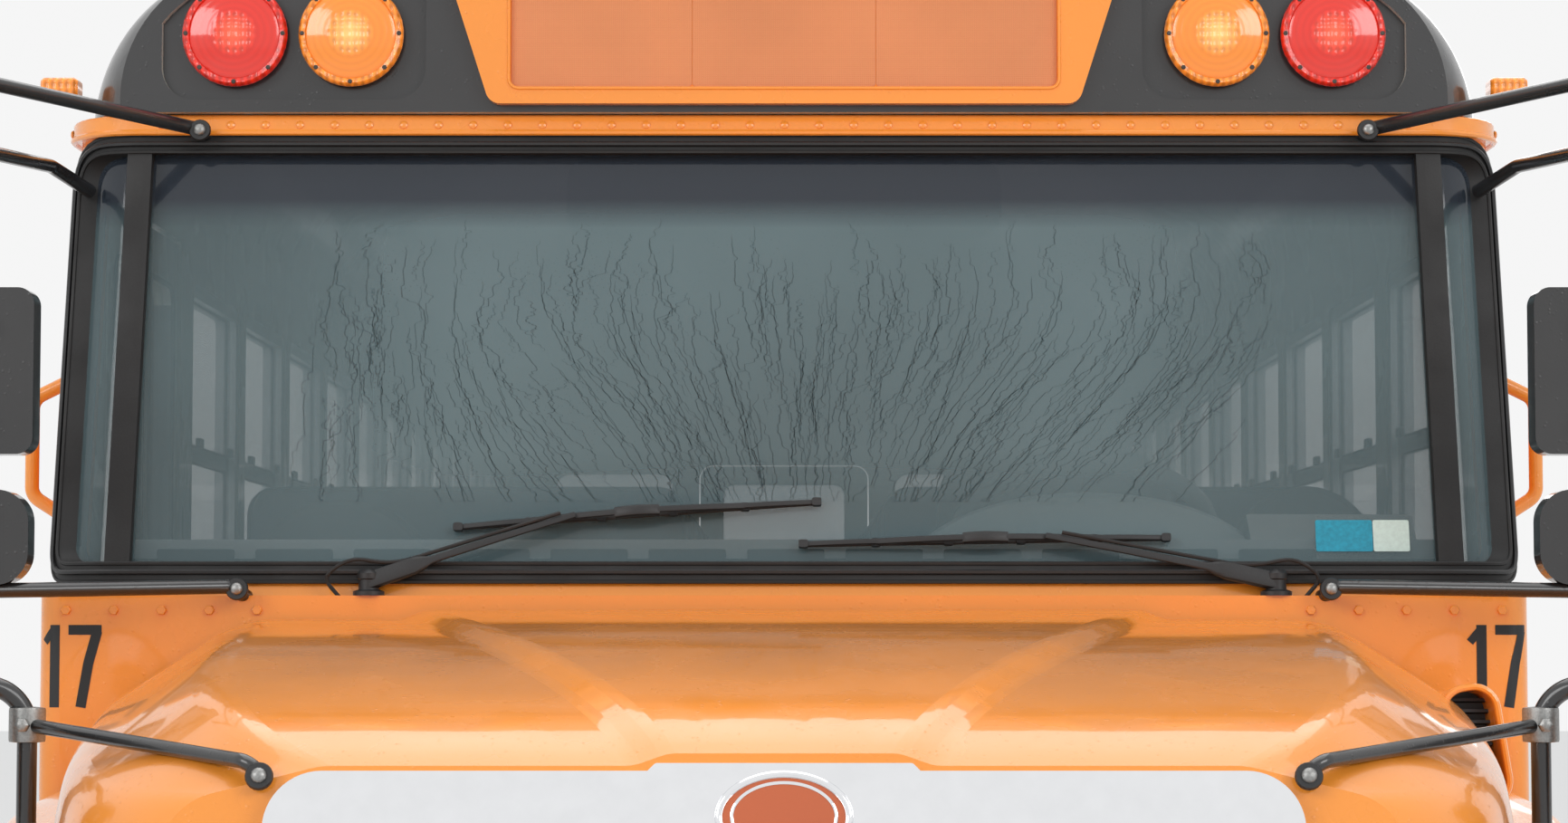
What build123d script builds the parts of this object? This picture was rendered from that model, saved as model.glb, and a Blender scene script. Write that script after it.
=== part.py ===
from build123d import *
import math
import os

# A conventional school bus: bonnet and fenders that tilt forward, a steel body on a ladder frame,
# leaf-sprung axles with single front wheels and twin rear wheels.
# Front faces -Y, +Z is up, and the driver sits on the +X side. Sizes are in millimetres.
# A name that ends in _st is a station: the distance behind the front bumper's face.

# Overall sizes
overall_length = 11200
body_width = 2440
half_width = body_width / 2
roof_top = 3080
eave_z = 2560
eave_radius = 310
skirt_z = 560
wall = 45

# Wheels and axles
tyre_radius = 525
tyre_width = 280
rim_radius = 286
front_axle_st = 1050
wheelbase = 6450
front_tyre_x = 1000
dual_centre_x = 895
dual_spacing = 340
kingpin_x = 850
front_arch_radius = 620
rear_arch_radius = 600
arch_gap = 25
wheelhouse_x = 560
wheelhouse_sheet = 12

# Ladder frame
rail_outer_x = 432
rail_low_z = 610
rail_height = 260
rail_flange = 80
rail_thickness = 8

# Floor and steps
floor_top = 960
floor_thickness = 40
sill_width = 60
step_rise = 200
step_depth = 240
step_thickness = 12
step_gap = 20

# Body stations and openings
cowl_st = 1500
screen_setback = 30
door_setback = 340
door_opening = 780
cowl_top_z = 1776
cowl_low_z = 925
cowl_corner = 40
windshield_st = cowl_st + screen_setback
windshield_rake = 14
windshield_corner = 130
windshield_low_z = 1800
windshield_high_z = 2562
glass_wrap = 85
header_z = 2600
door_front_st = cowl_st + door_setback
door_rear_st = door_front_st + door_opening
door_high_z = 2470
door_low_z = 372
door_nose = 26
door_thickness = 40
rear_setback = 150
rear_body_length = 350
body_rear_st = overall_length - rear_setback
rear_body_st = body_rear_st - rear_body_length
rear_corner = 120

# Passenger windows
window_pitch = 711
window_first_st = door_rear_st + 100
window_count = int((rear_body_st - window_first_st) / window_pitch)
window_width = 620
window_low_z = 1745
window_high_z = 2415
window_corner = 45
sash = 26
glass = 6
driver_window_st = door_front_st + 110
driver_window_width = 680

# Front cap above the windshield: columns are distance behind its face, half width, eave height, eave radius,
# top height
cap_st = windshield_st + 170
cap_sections = [
    (0, 1130, 2625, 235, 2890),
    (75, 1180, 2600, 262, 2960),
    (200, 1210, 2572, 292, 3036),
    (420, half_width, eave_z, eave_radius, roof_top),
]
cap_wall = 40
cap_rear_st = cap_st + cap_sections[-1][0]
pod_depth = 14
pod_radius = 55
pod_x = (610, 1060)
pod_z = (2622, 2850)
lamp_radius = 89
lamp_proud = 26
red_lamp_x = 935
amber_lamp_x = 737
warning_lamp_z = 2733

# Bonnet with fenders: columns are station at z 1100, lean back per mm of height, fender half width,
# fender shoulder height, upper half width, upper side height, top height, raised centre's half width,
# lowest height
hood_nose_st = 215
hood_gap = 15
hood_rear_st = cowl_st - hood_gap
hood_sections = [
    (hood_nose_st, 0.16, 1030, 1190, 800, 1490, 1556, 150, 800),
    (hood_nose_st + 115, 0.10, 1150, 1240, 905, 1490, 1602, 190, 760),
    (hood_nose_st + 405, 0.04, 1195, 1300, 1000, 1530, 1670, 300, 740),
    (hood_rear_st - 405, 0.0, 1212, 1370, 1048, 1585, 1726, 460, 740),
    (hood_rear_st, 0.0, 1215, 1430, 1070, 1610, 1752, 580, 740),
]
hood_wall = 8
centre_rise = 16
hood_hinge_st = hood_nose_st
hood_hinge_z = 800
hinge_inner_x = 380
hinge_pin_radius = 10
horn_top_z = 735
horn_end_st = 330

# Bumpers
bumper_low_z = 430
bumper_high_z = 700
front_bumper_depth = 120
rear_bumper_depth = 110
bumper_thickness = 8

# Seats
bench_width = 960
bench_depth = 380
bench_gap = 30
cushion_thickness = 130
cushion_top = 430
back_thickness = 95
back_top = 1080

running_gap = 0.3
part_gap = 10

# Worked out from the sizes above
front_y = -overall_length / 2
half_body = half_width
half_inner = half_body - wall
front_axle_y = front_y + front_axle_st
rear_axle_st = front_axle_st + wheelbase
rear_axle_y = front_y + rear_axle_st
axle_z = tyre_radius
rail_top_z = rail_low_z + rail_height
body_rear_y = front_y + body_rear_st
door_axis_x = half_body - wall / 2
window_stations = [window_first_st + (i + 0.5) * window_pitch for i in range(window_count)]
bench_stations = [st + 60 for st in window_stations]
sides = (-1, 1)
nodes = {}


def at(station):
    return front_y + station


def block(x0, x1, y0, y1, z0, z1):
    return Pos((x0 + x1) / 2, (y0 + y1) / 2, (z0 + z1) / 2) * Box(abs(x1 - x0), abs(y1 - y0), abs(z1 - z0))


def along_y(face, y0, y1):
    """A profile drawn in X and Z, carried from y0 to y1."""
    return extrude(Plane.XZ.offset(-y1) * face, amount=y1 - y0)


def along_x(face, x0, x1):
    """A profile drawn in Y and Z, carried from x0 to x1."""
    return extrude(Plane.YZ.offset(x0) * face, amount=x1 - x0)


def along_z(face, z0, z1):
    """A profile drawn in X and Y, carried from z0 to z1."""
    return extrude(Plane.XY.offset(z0) * face, amount=z1 - z0)


def polygon(*points):
    return make_face(Polyline(*points, close=True))


def rounded(points, radii):
    return make_face(FilletPolyline(*points, radius=radii, close=True))


def rod_x(x0, x1, y, z, radius):
    return Pos((x0 + x1) / 2, y, z) * Rot(0, 90, 0) * Cylinder(radius, abs(x1 - x0))


def rod_y(x, y0, y1, z, radius):
    return Pos(x, (y0 + y1) / 2, z) * Rot(90, 0, 0) * Cylinder(radius, abs(y1 - y0))


def rod_z(x, y, z0, z1, radius):
    return Pos(x, y, (z0 + z1) / 2) * Cylinder(radius, abs(z1 - z0))


def bent_tube(points, radius, bend):
    """A round tube along straight runs joined by arcs of radius bend."""
    knots = [Vector(*p) for p in points]
    edges, last = [], knots[0]
    for before, here, after in zip(knots, knots[1:], knots[2:]):
        back, ahead = (before - here).normalized(), (after - here).normalized()
        half_angle = math.acos(max(-1, min(1, back.dot(ahead)))) / 2
        cut = bend / math.tan(half_angle)
        inward = (back + ahead).normalized()
        middle = here + inward * (bend / math.sin(half_angle) - bend)
        enter, leave = here + back * cut, here + ahead * cut
        edges += [Edge.make_line(last, enter), Edge.make_three_point_arc(enter, middle, leave)]
        last = leave
    edges.append(Edge.make_line(last, knots[-1]))
    path = Wire(edges)
    return sweep(Plane(knots[0], z_dir=knots[1] - knots[0]) * Circle(radius), path=path)


def mirrored(solid):
    return [solid, mirror(solid, about=Plane.YZ)]


def joined(pieces):
    whole = pieces[0]
    for piece in pieces[1:]:
        whole = whole + piece
    return whole


def seated(shape, *names):
    """Cuts a piece back to the surfaces of the nodes that it stands on."""
    for name in names:
        shape = shape - nodes[name]
    return max(shape.solids(), key=lambda s: s.volume)


def keep(name, *pieces):
    """Stores a node as its separate solids."""
    solids = [s for piece in pieces for s in piece.solids()]
    nodes[name] = solids[0] if len(solids) == 1 else Compound(children=solids)


def roof_profile(half, eave, radius, top, low, inset=0):
    """Cross-section: straight sides, an arc at each eave and one wide arc across the top, all tangent."""
    cx = half - radius
    crown = (cx**2 + (top - eave) ** 2 - radius**2) / (2 * (top - eave - radius))
    centre_z = top - crown
    reach = math.hypot(cx, eave - centre_z)
    r, big = radius - inset, crown - inset
    tx, tz = big * cx / reach, centre_z + big * (eave - centre_z) / reach
    turn = math.atan2(tz - eave, tx - cx) / 2
    mx, mz = cx + r * math.cos(turn), eave + r * math.sin(turn)
    side = half - inset
    edges = [
        Line((-side, low), (side, low)),
        ThreePointArc((side, eave), (mx, mz), (tx, tz)),
        ThreePointArc((tx, tz), (0, top - inset), (-tx, tz)),
        ThreePointArc((-tx, tz), (-mx, mz), (-side, eave)),
    ]
    if eave - low > 0.01:
        edges += [Line((side, low), (side, eave)), Line((-side, eave), (-side, low))]
    return make_face(edges)


def body_profile(inset, low):
    return roof_profile(half_body, eave_z, eave_radius, roof_top, low, inset)


def front_form(inset, low=cowl_top_z, high=header_z):
    """The raked front of the body with rounded upright corners, shrunk by inset."""
    lean = math.tan(math.radians(windshield_rake))
    setback = inset / math.cos(math.radians(windshield_rake))
    y_low = at(windshield_st) + setback + (low - cowl_top_z) * lean
    y_high = y_low + (high - low) * lean
    back = at(windshield_st) + 600
    side = half_body - inset
    wedge = along_x(polygon((y_low, low), (back, low), (back, high), (y_high, high)), -side, side)
    corners = [e for e in wedge.edges() if abs(e.center().X) > side - 1 and e.center().Y < y_high
               and e.length > (high - low) * 0.99]
    return fillet(corners, windshield_corner - inset)


def tyre_space(axle_y, radius, inner):
    """The round spaces in which the wheels of one axle turn, from x = inner outwards."""
    return joined(mirrored(rod_x(inner, half_body + 80, axle_y, axle_z, radius)))


def front_tyre_space(extra=arch_gap):
    return tyre_space(front_axle_y, front_arch_radius + extra, 500)


def rear_tyre_space(extra=0, wall_step=0):
    return tyre_space(rear_axle_y, rear_arch_radius + extra, wheelhouse_x - wall_step)


def screen_y(z):
    """Where the raked front plane stands at height z."""
    return at(windshield_st) + (z - cowl_top_z) * math.tan(math.radians(windshield_rake))


def screen_opening(inset=0):
    """The wrap-around windshield's opening: its rear edges run parallel to the rake."""
    z0, z1, wrap = windshield_low_z + inset, windshield_high_z - inset, glass_wrap - inset
    points = [(at(1350), z0), (screen_y(z0) + wrap, z0), (screen_y(z1) + wrap, z1), (at(1350), z1)]
    corner = 70 - inset
    return along_x(rounded(points, [0, corner, corner, 0]), -half_body - 60, half_body + 60)


# Ladder frame
def chassis_frame():
    rail = [
        (rail_outer_x, rail_low_z),
        (rail_outer_x, rail_top_z),
        (rail_outer_x - rail_flange, rail_top_z),
        (rail_outer_x - rail_flange, rail_top_z - rail_thickness),
        (rail_outer_x - rail_thickness, rail_top_z - rail_thickness),
        (rail_outer_x - rail_thickness, rail_low_z + rail_thickness),
        (rail_outer_x - rail_flange, rail_low_z + rail_thickness),
        (rail_outer_x - rail_flange, rail_low_z),
    ]
    start, end = at(front_bumper_depth), at(overall_length - rear_bumper_depth)
    pieces = mirrored(along_y(polygon(*rail), start, end))
    web_x = rail_outer_x - rail_thickness
    cross_low, cross_high = rail_low_z + 30, rail_top_z - 30
    member_depth = 70
    for station in (2350, 3900, 5450, rear_axle_st - 900, rear_axle_st + 900, body_rear_st - 1350,
                    body_rear_st - 150):
        y = at(station)
        channel = [
            (y, cross_low), (y + member_depth, cross_low), (y + member_depth, cross_low + rail_thickness),
            (y + rail_thickness, cross_low + rail_thickness), (y + rail_thickness, cross_high - rail_thickness),
            (y + member_depth, cross_high - rail_thickness), (y + member_depth, cross_high), (y, cross_high),
        ]
        pieces.append(along_x(polygon(*channel), -web_x, web_x))
    front_tube = rod_x(-web_x, web_x, at(300), rail_low_z + rail_height / 2, 45)
    pieces.append(front_tube)
    # Tow eyes below the rear ends of the rails
    eye_y, eye_z, eye_radius, bore, plate = at(body_rear_st - 60), 500, 55, 25, 20
    eye_face = polygon((eye_y - 90, rail_low_z), (eye_y - 55, eye_z), (eye_y + 55, eye_z), (eye_y + 90, rail_low_z))
    eye_plate = along_x(eye_face, rail_outer_x - plate, rail_outer_x)
    eye_plate += rod_x(rail_outer_x - plate, rail_outer_x, eye_y, eye_z, eye_radius)
    eye_plate -= rod_x(rail_outer_x - plate - 5, rail_outer_x + 5, eye_y, eye_z, bore)
    pieces += mirrored(eye_plate)
    frame = joined(pieces)
    # Arched openings in the cross-members let the propeller shaft through
    frame -= block(-110, 110, at(2300), at(7100), cross_low - 1, cross_high - 35)
    # The rails are cut down ahead of the bonnet's hinge, and brackets on them carry its pins
    frame -= block(-500, 500, start - 1, at(horn_end_st), horn_top_z, rail_top_z + 1)
    hinge_y = at(hood_hinge_st)
    for side in sides:
        x0, x1 = side * hinge_inner_x, side * (hinge_inner_x + 40)
        web = side * (rail_outer_x - rail_thickness)
        frame += block(x0, web, hinge_y - 30, hinge_y + 40, horn_top_z - 60, horn_top_z)
        frame += block(x0, x1, hinge_y - 30, hinge_y + 40, horn_top_z, hood_hinge_z)
        frame += rod_x(x0, x1, hinge_y, hood_hinge_z, 24)
        frame += rod_x(x1, side * (hinge_inner_x + 72), hinge_y, hood_hinge_z, hinge_pin_radius)
    keep("chassis_frame", frame)


# Springs, axles and steering
def front_axle():
    beam_z, beam_half, beam_drop = axle_z - 10, 45, 45
    boss_radius, boss_half = 42, 70
    points = [
        (-kingpin_x, beam_z + beam_half), (-kingpin_x, beam_z - beam_half), (-560, beam_z - beam_half - beam_drop),
        (560, beam_z - beam_half - beam_drop), (kingpin_x, beam_z - beam_half), (kingpin_x, beam_z + beam_half),
        (560, beam_z + beam_half - beam_drop), (-560, beam_z + beam_half - beam_drop),
    ]
    face = polygon(*points)
    beam = along_y(face, front_axle_y - 45, front_axle_y + 45)
    recess = rounded([(-520, beam_z - 70), (520, beam_z - 70), (520, beam_z - 20), (-520, beam_z - 20)], 10)
    for side in sides:
        y0, y1 = front_axle_y + side * 45, front_axle_y + side * 22
        beam -= along_y(recess, min(y0, y1), max(y0, y1))
    for side in sides:
        beam += rod_z(side * kingpin_x, front_axle_y, beam_z - boss_half, beam_z + boss_half, boss_radius)
    keep("front_axle", beam)


front_spring_x = 395
rear_spring_x = 395
spring_leaf = 16
leaf_width = 75


def spring(x, centre_y, seat_z, half_length, count, eye_rise, on_top):
    """One leaf spring seated on its axle at seat_z, with eyes and the hangers that hold it to the rail."""
    radius = (half_length**2 + eye_rise**2) / (2 * eye_rise)
    centre_z = seat_z + count * spring_leaf + radius
    left, right = x - leaf_width / 2, x + leaf_width / 2
    pieces = []
    for i in range(count):
        low_radius = radius + (i + 1) * spring_leaf
        reach = half_length * (1 - 0.2 * i)
        ring = Circle(low_radius) - Circle(low_radius - spring_leaf)
        strip = ring & (Pos(0, -low_radius + eye_rise) * Rectangle(2 * reach, 2 * eye_rise + 4 * spring_leaf))
        pieces.append(along_x(Pos(centre_y, centre_z) * strip, left, right))
    eye_z = centre_z - math.sqrt(radius**2 - half_length**2)
    for end in sides:
        eye_y = centre_y + end * half_length
        pieces.append(rod_x(left, right, eye_y, eye_z, 30))
        hanger = polygon((eye_y - 60, rail_low_z), (eye_y + 60, rail_low_z), (eye_y + 28, eye_z - 26),
                         (eye_y - 28, eye_z - 26))
        pieces.append(along_x(hanger, left + 8, right - 8))
    clamp_z = seat_z + count * spring_leaf - 3 if on_top else seat_z - 18
    pieces.append(block(left - 6, right + 6, centre_y - 85, centre_y + 85, clamp_z, clamp_z + 22))
    return joined(pieces)


def springs():
    """The front springs lie on the axle beam, the rear ones pass under the axle tube."""
    front_seat = axle_z - 10 + 45 - 45
    front = [spring(side * front_spring_x, front_axle_y, front_seat, 560, 3, 12, True) for side in sides]
    rear_seat = axle_z - 62 - 4 * spring_leaf
    rear = [spring(side * rear_spring_x, rear_axle_y, rear_seat, 640, 4, 60, False) for side in sides]
    keep("springs", *front, *rear)


def knuckle(side):
    """The fork round the axle's end, its spindle and its steering arm, turning about the kingpin."""
    x, y, z = side * kingpin_x, front_axle_y, axle_z - 10
    boss_half, ear = 70, 26
    pieces = []
    for up in sides:
        near, far = z + up * (boss_half + running_gap), z + up * (boss_half + running_gap + ear)
        pieces.append(rod_z(x, y, near, far, 42))
        pieces.append(block(x, x + side * 75, y - 42, y + 42, near, far))
    outer = boss_half + running_gap + ear
    pieces.append(block(x + side * 47, x + side * 75, y - 42, y + 42, z - outer, z + outer))
    pieces.append(rod_x(x + side * 60, x + side * 195, y, axle_z, 35))
    arm_z = z - outer
    arm_y = y + steer_arm
    pieces.append(block(x - 16, x + 16, y, arm_y, arm_z, arm_z + 24))
    pieces.append(rod_z(x, arm_y, arm_z, arm_z + 24, 26))
    return joined(pieces)


steer_arm = 190


def steering():
    keep("knuckle_left", knuckle(1))
    keep("knuckle_right", knuckle(-1))
    rod_z_top = axle_z - 10 - 70 - running_gap - 26 - running_gap
    arm_y = front_axle_y + steer_arm
    rod_centre = rod_z_top - 22
    track = rod_x(-kingpin_x, kingpin_x, arm_y, rod_centre, 20)
    for side in sides:
        track += rod_z(side * kingpin_x, arm_y, rod_centre - 26, rod_z_top, 27)
    keep("track_rod", track)


def rear_axle():
    tube = rod_x(-640, 640, rear_axle_y, axle_z, 62)
    bowl = Pos(0, rear_axle_y, axle_z) * Rot(90, 0, 0) * Cylinder(200, 200)
    bowl = fillet(bowl.edges(), 60)
    nose = rod_y(0, rear_axle_y - 330, rear_axle_y, axle_z + 20, 95)
    pieces = [tube, bowl, nose]
    for side in sides:
        pieces.append(rod_x(side * 600, side * 960, rear_axle_y, axle_z, 45))
        seat = block(side * rear_spring_x - 43, side * rear_spring_x + 43, rear_axle_y - 60, rear_axle_y + 60,
                     axle_z - 62, axle_z + 10)
        pieces.append(seat)
    keep("rear_axle", seated(joined(pieces), "springs"))


# Wheels
def tyre(centre_x):
    half = tyre_width / 2
    bead = half - 24
    side_wall = rim_radius + 0.45 * (tyre_radius - rim_radius)
    points = [
        (-bead, rim_radius), (bead, rim_radius), (half, side_wall), (half - 12, tyre_radius - 8),
        (half - 50, tyre_radius), (50 - half, tyre_radius), (12 - half, tyre_radius - 8), (-half, side_wall),
    ]
    face = rounded(points, [8, 8, 60, 14, 20, 20, 14, 60])
    return Pos(centre_x, 0, 0) * revolve(face, Axis.X)


hub_bore = 45 + running_gap
stud_circle_radius = 142.875
stud_radius = 11


def rim(centre_x, disc_x, outward, hub_x0, hub_x1, bore):
    """A drop-centre rim with a dished disc, hand holes, hub and wheel nuts."""
    half = tyre_width / 2 - 12
    lip, seat, under = rim_radius + 16, rim_radius, rim_radius - 8
    barrel = polygon((-half, lip), (-half, under), (half, under), (half, lip), (half - 8, lip), (half - 8, seat),
                     (8 - half, seat), (8 - half, lip))
    shape = Pos(centre_x, 0, 0) * revolve(barrel, Axis.X)
    offset = disc_x - centre_x
    inner_x = offset - outward * 60
    disc = polygon(
        (inner_x, rim_radius - 6), (inner_x + outward * 12, rim_radius - 6), (offset, 205),
        (offset, bore), (offset - outward * 12, bore), (offset - outward * 12, 200),
    )
    shape += Pos(centre_x, 0, 0) * revolve(disc, Axis.X)
    hole_x = disc_x - outward * 30
    for i in range(10):
        turn = math.radians(36 * i + 18)
        y, z = 238 * math.cos(turn), 238 * math.sin(turn)
        shape -= rod_x(hole_x - 45, hole_x + 45, y, z, 24)
    shape += rod_x(hub_x0, hub_x1, 0, 0, 92) - rod_x(hub_x0 - outward, hub_x1 - outward * 12, 0, 0, bore)
    for i in range(10):
        turn = math.radians(36 * i)
        y, z = stud_circle_radius * math.cos(turn), stud_circle_radius * math.sin(turn)
        nut = Pos(disc_x, y, z) * Rot(0, 90 * outward, 0) * extrude(RegularPolygon(stud_radius + 6, 6), amount=26)
        shape += nut
    return shape


def drum(x0, x1, closed_x):
    """A brake drum: an open cup round the brake, closed on its outer face."""
    return rod_x(x0, x1, 0, 0, 212) - rod_x(x0, closed_x, 0, 0, 200)


def placed(shape, axle_y):
    """A wheel drawn round the X axis, moved to its axle."""
    return Pos(0, axle_y, axle_z) * shape


def wheels():
    for side, name in ((1, "left"), (-1, "right")):
        front = side * front_tyre_x
        keep(f"front_tyre_{name}", placed(tyre(front), front_axle_y))
        disc_x = front + side * 60
        hub_in = side * (kingpin_x + 90)
        shape = rim(front, disc_x, side, hub_in, disc_x + side * 55, 35 + running_gap)
        shape += drum(side * (kingpin_x + 90), disc_x - side * 10, disc_x - side * 22)
        bore = rod_x(side * (kingpin_x + 80), side * (kingpin_x + 195 + running_gap), 0, 0, 35 + running_gap)
        keep(f"front_wheel_{name}", placed(shape - bore, front_axle_y))
        outer_x = side * (dual_centre_x + dual_spacing / 2)
        inner_x = side * (dual_centre_x - dual_spacing / 2)
        keep(f"rear_tyres_{name}", placed(tyre(outer_x), rear_axle_y), placed(tyre(inner_x), rear_axle_y))
        middle = side * dual_centre_x
        hub_in, hub_out = side * 690, side * (dual_centre_x + 130)
        outer = rim(outer_x, middle + side * 12, -side, hub_out, hub_in, hub_bore)
        inner = rim(inner_x, middle, side, hub_in, hub_out, hub_bore)
        shape = outer + inner
        shape += drum(side * 650, side * (dual_centre_x - 10), side * (dual_centre_x - 22))
        bore = rod_x(side * 640, side * (960 + running_gap), 0, 0, hub_bore)
        keep(f"rear_wheels_{name}", placed(shape - bore, rear_axle_y))


# Engine, gearbox, shaft, tank and exhaust
def drivetrain():
    keep("engine_block", block(-300, 300, at(560), at(1400), rail_low_z + 40, 1430))
    gearbox_y0, gearbox_y1 = at(1400), at(2200)
    bell = along_y(Pos(0, 700) * Circle(215), gearbox_y0, gearbox_y0 + 220)
    box = along_y(Pos(0, 700) * RectangleRounded(330, 300, 60), gearbox_y0 + 220, gearbox_y1)
    end_y = rear_axle_y - 330
    shaft_from, shaft_to = Vector(0, gearbox_y1 - 30, 690), Vector(0, end_y - 60, axle_z + 30)
    direction = shaft_to - shaft_from
    shaft = extrude(Plane(shaft_from, z_dir=direction) * Circle(52), amount=direction.length)
    yoke = rod_y(0, end_y - 80, end_y, axle_z + 30, 70)
    keep("driveline", joined([bell, box, shaft, yoke]))


def fuel_tank():
    y0, y1 = at(door_rear_st + 680), at(door_rear_st + 2030)
    tank = along_y(Pos(-(rail_outer_x + 330), 640) * RectangleRounded(560, 420, 70), y0, y1)
    straps = []
    for y in (y0 + 250, y1 - 250):
        outer = Pos(-(rail_outer_x + 330), 640) * RectangleRounded(572, 432, 76)
        straps.append(along_y(outer, y - 30, y + 30))
        straps.append(block(-(rail_outer_x + 60), -rail_outer_x, y - 30, y + 30, 700, 760))
    keep("fuel_tank", joined([tank] + straps))


def exhaust():
    x, low = rail_outer_x + 190, 540
    muffler = along_y(Pos(x, 640) * Circle(115), at(3000), at(4200))
    lead = bent_tube([(262, at(1400), 700), (262, at(1650), 700), (262, at(1900), low), (x, at(2300), low),
                      (x, at(2700), 640), (x, at(3010), 640)], 38, 90)
    outlet = rear_axle_st - 1200
    tail = bent_tube([(x, at(4190), 640), (x, at(outlet - 600), 640), (x, at(outlet - 250), 470),
                      (half_body - 40, at(outlet), 470)], 45, 100)
    pieces = [muffler, lead, tail]
    for y in (at(3300), at(3900), at(5200)):
        pieces.append(block(rail_outer_x, x, y - 20, y + 20, 670, 700))
    keep("exhaust", joined(pieces))


# Floor panels on cross sills, wheelhouses, and the entrance steps
def floor():
    y0, y1 = at(cowl_st) + wall, body_rear_y - wall
    low = floor_top - floor_thickness
    step_y0, step_y1 = step_well_y()
    well_y0, well_y1 = step_y0 - step_thickness, step_y1 + step_thickness
    centre, arch = wheelhouse_x - wheelhouse_sheet, rear_arch_radius + wheelhouse_sheet
    panels = [
        block(-half_inner, half_inner, y0, well_y0, low, floor_top),
        block(step_inner_x, half_inner, well_y0, well_y1, low, floor_top),
        block(-centre, centre, well_y1, y1, low, floor_top),
    ]
    for side in sides:
        for start, end in ((well_y1, rear_axle_y), (rear_axle_y, y1)):
            panels.append(block(side * centre, side * half_inner, start, end, low, floor_top))
    for station in [cowl_st + 250] + [window_first_st + i * window_pitch for i in range(window_count + 1)]:
        panels.append(block(-half_inner, half_inner, at(station) - sill_width / 2, at(station) + sill_width / 2,
                            rail_top_z, low))
    tyres = front_tyre_space(arch_gap + wheelhouse_sheet) + rear_tyre_space(wheelhouse_sheet, wheelhouse_sheet)
    panels = [panel - tyres for panel in panels]
    cover = front_tyre_space(arch_gap + wheelhouse_sheet) - front_tyre_space()
    cover &= block(-half_inner, half_inner, y0, y0 + 255, rail_top_z, cowl_low_z)
    rear_cover = rear_tyre_space(wheelhouse_sheet, wheelhouse_sheet) - rear_tyre_space()
    rear_cover &= block(-half_inner, half_inner, rear_axle_y - arch, rear_axle_y + arch, rail_top_z,
                        axle_z + arch + 1)
    solids = [s for piece in panels + [cover, rear_cover] for s in piece.solids()]
    keep("floor", *[s - nodes["rear_body"] for s in solids])


def step_well_y():
    return at(door_front_st) + step_gap, at(door_rear_st) - step_gap


step_outer_x = 8 - half_inner
step_inner_x = step_outer_x + 3 * step_depth + step_thickness


def entrance_steps():
    """Three treads with their risers, between the two sheets that close the step well."""
    y0, y1 = step_well_y()
    t = step_thickness
    low = floor_top - 3 * step_rise - t
    pieces = []
    for i in range(3):
        x0 = step_outer_x + i * step_depth
        x1 = x0 + step_depth
        tread_z = floor_top - (3 - i) * step_rise
        pieces.append(block(x0, x1 + t, y0, y1, tread_z - t, tread_z))
        riser_high = tread_z + step_rise - (t if i < 2 else 0)
        pieces.append(block(x1, x1 + t, y0, y1, tread_z, riser_high))
    for y in (y0 - t, y1):
        pieces.append(block(step_outer_x, step_inner_x, y, y + t, low, floor_top))
    # Brackets under the door leaves' lower pivots
    for station in (door_front_st + door_nose, door_rear_st - door_nose):
        pieces.append(block(step_outer_x, -half_body + 8, at(station) - 14, at(station) + 14, low, door_low_z - 12))
    keep("entrance_steps", *pieces)


# Side walls
def window_cutter(station, width, side):
    face = Pos(at(station), (window_low_z + window_high_z) / 2) * RectangleRounded(
        width, window_high_z - window_low_z, window_corner)
    x0, x1 = sorted((side * (half_inner - 5), side * (half_body + 5)))
    return along_x(face, x0, x1)


def side_walls():
    for side, name, start in ((1, "left", door_front_st), (-1, "right", door_rear_st)):
        x0, x1 = sorted((side * half_inner, side * half_body))
        shape = block(x0, x1, at(start), at(rear_body_st), skirt_z, eave_z)
        for station in window_stations:
            shape -= window_cutter(station, window_width, side)
        if side > 0:
            shape -= window_cutter(driver_window_st + driver_window_width / 2, driver_window_width, side)
        shape -= rear_tyre_space(-20)
        keep(f"side_wall_{name}", shape)


def window_sets():
    """Sash frames with a middle rail, and the panes in them, as separate solids."""
    frames, panes = [], []
    sets = [(st, window_width, side) for st in window_stations for side in sides]
    sets.append((driver_window_st + driver_window_width / 2, driver_window_width, 1))
    height = window_high_z - window_low_z
    middle_z = (window_low_z + window_high_z) / 2
    pane_in, pane_out = half_body - 28, half_body - 28 + glass
    for station, width, side in sets:
        centre = Pos(at(station), middle_z)
        outer = centre * RectangleRounded(width, height, window_corner)
        hole = centre * RectangleRounded(width - 2 * sash, height - 2 * sash, window_corner - sash)
        rail_face = centre * Rectangle(width - 2 * sash + 1, 30)
        span = sorted((side * (half_inner + 4), side * (half_body + 3)))
        frame = along_x(outer - hole, *span)
        bar = sorted((side * pane_out, side * (half_body - 4)))
        frames.append(frame + along_x(rail_face, *bar))
        pane_span = sorted((side * pane_in, side * pane_out))
        panes.append(along_x(hole, *pane_span))
    keep("window_frames", *frames)
    return panes


# Ribbed rub rails: columns are height of the middle, height, whether the rear arch breaks it
rub_rails_table = [(1655, 100, False), (1300, 100, False), (975, 100, True), (640, 110, True)]
rub_depth = 14


def rub_rails():
    pieces = []
    for side, start in ((1, door_front_st + 15), (-1, door_rear_st + 15)):
        for middle, height, broken in rub_rails_table:
            ribs, low = 3, middle - height / 2
            points = [(half_body, low)]
            rib = height / ribs
            for i in range(ribs):
                z = low + i * rib
                points += [(half_body + rub_depth, z + rib * 0.22), (half_body + rub_depth, z + rib * 0.78)]
                if i < ribs - 1:
                    points.append((half_body + rub_depth * 0.4, z + rib))
            points.append((half_body, low + height))
            face = polygon(*[(side * x, z) for x, z in points])
            rail = along_y(face, at(start), at(rear_body_st))
            if broken:
                rail -= rear_tyre_space(10)
            pieces.append(rail)
    keep("rub_rails", *pieces)


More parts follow.
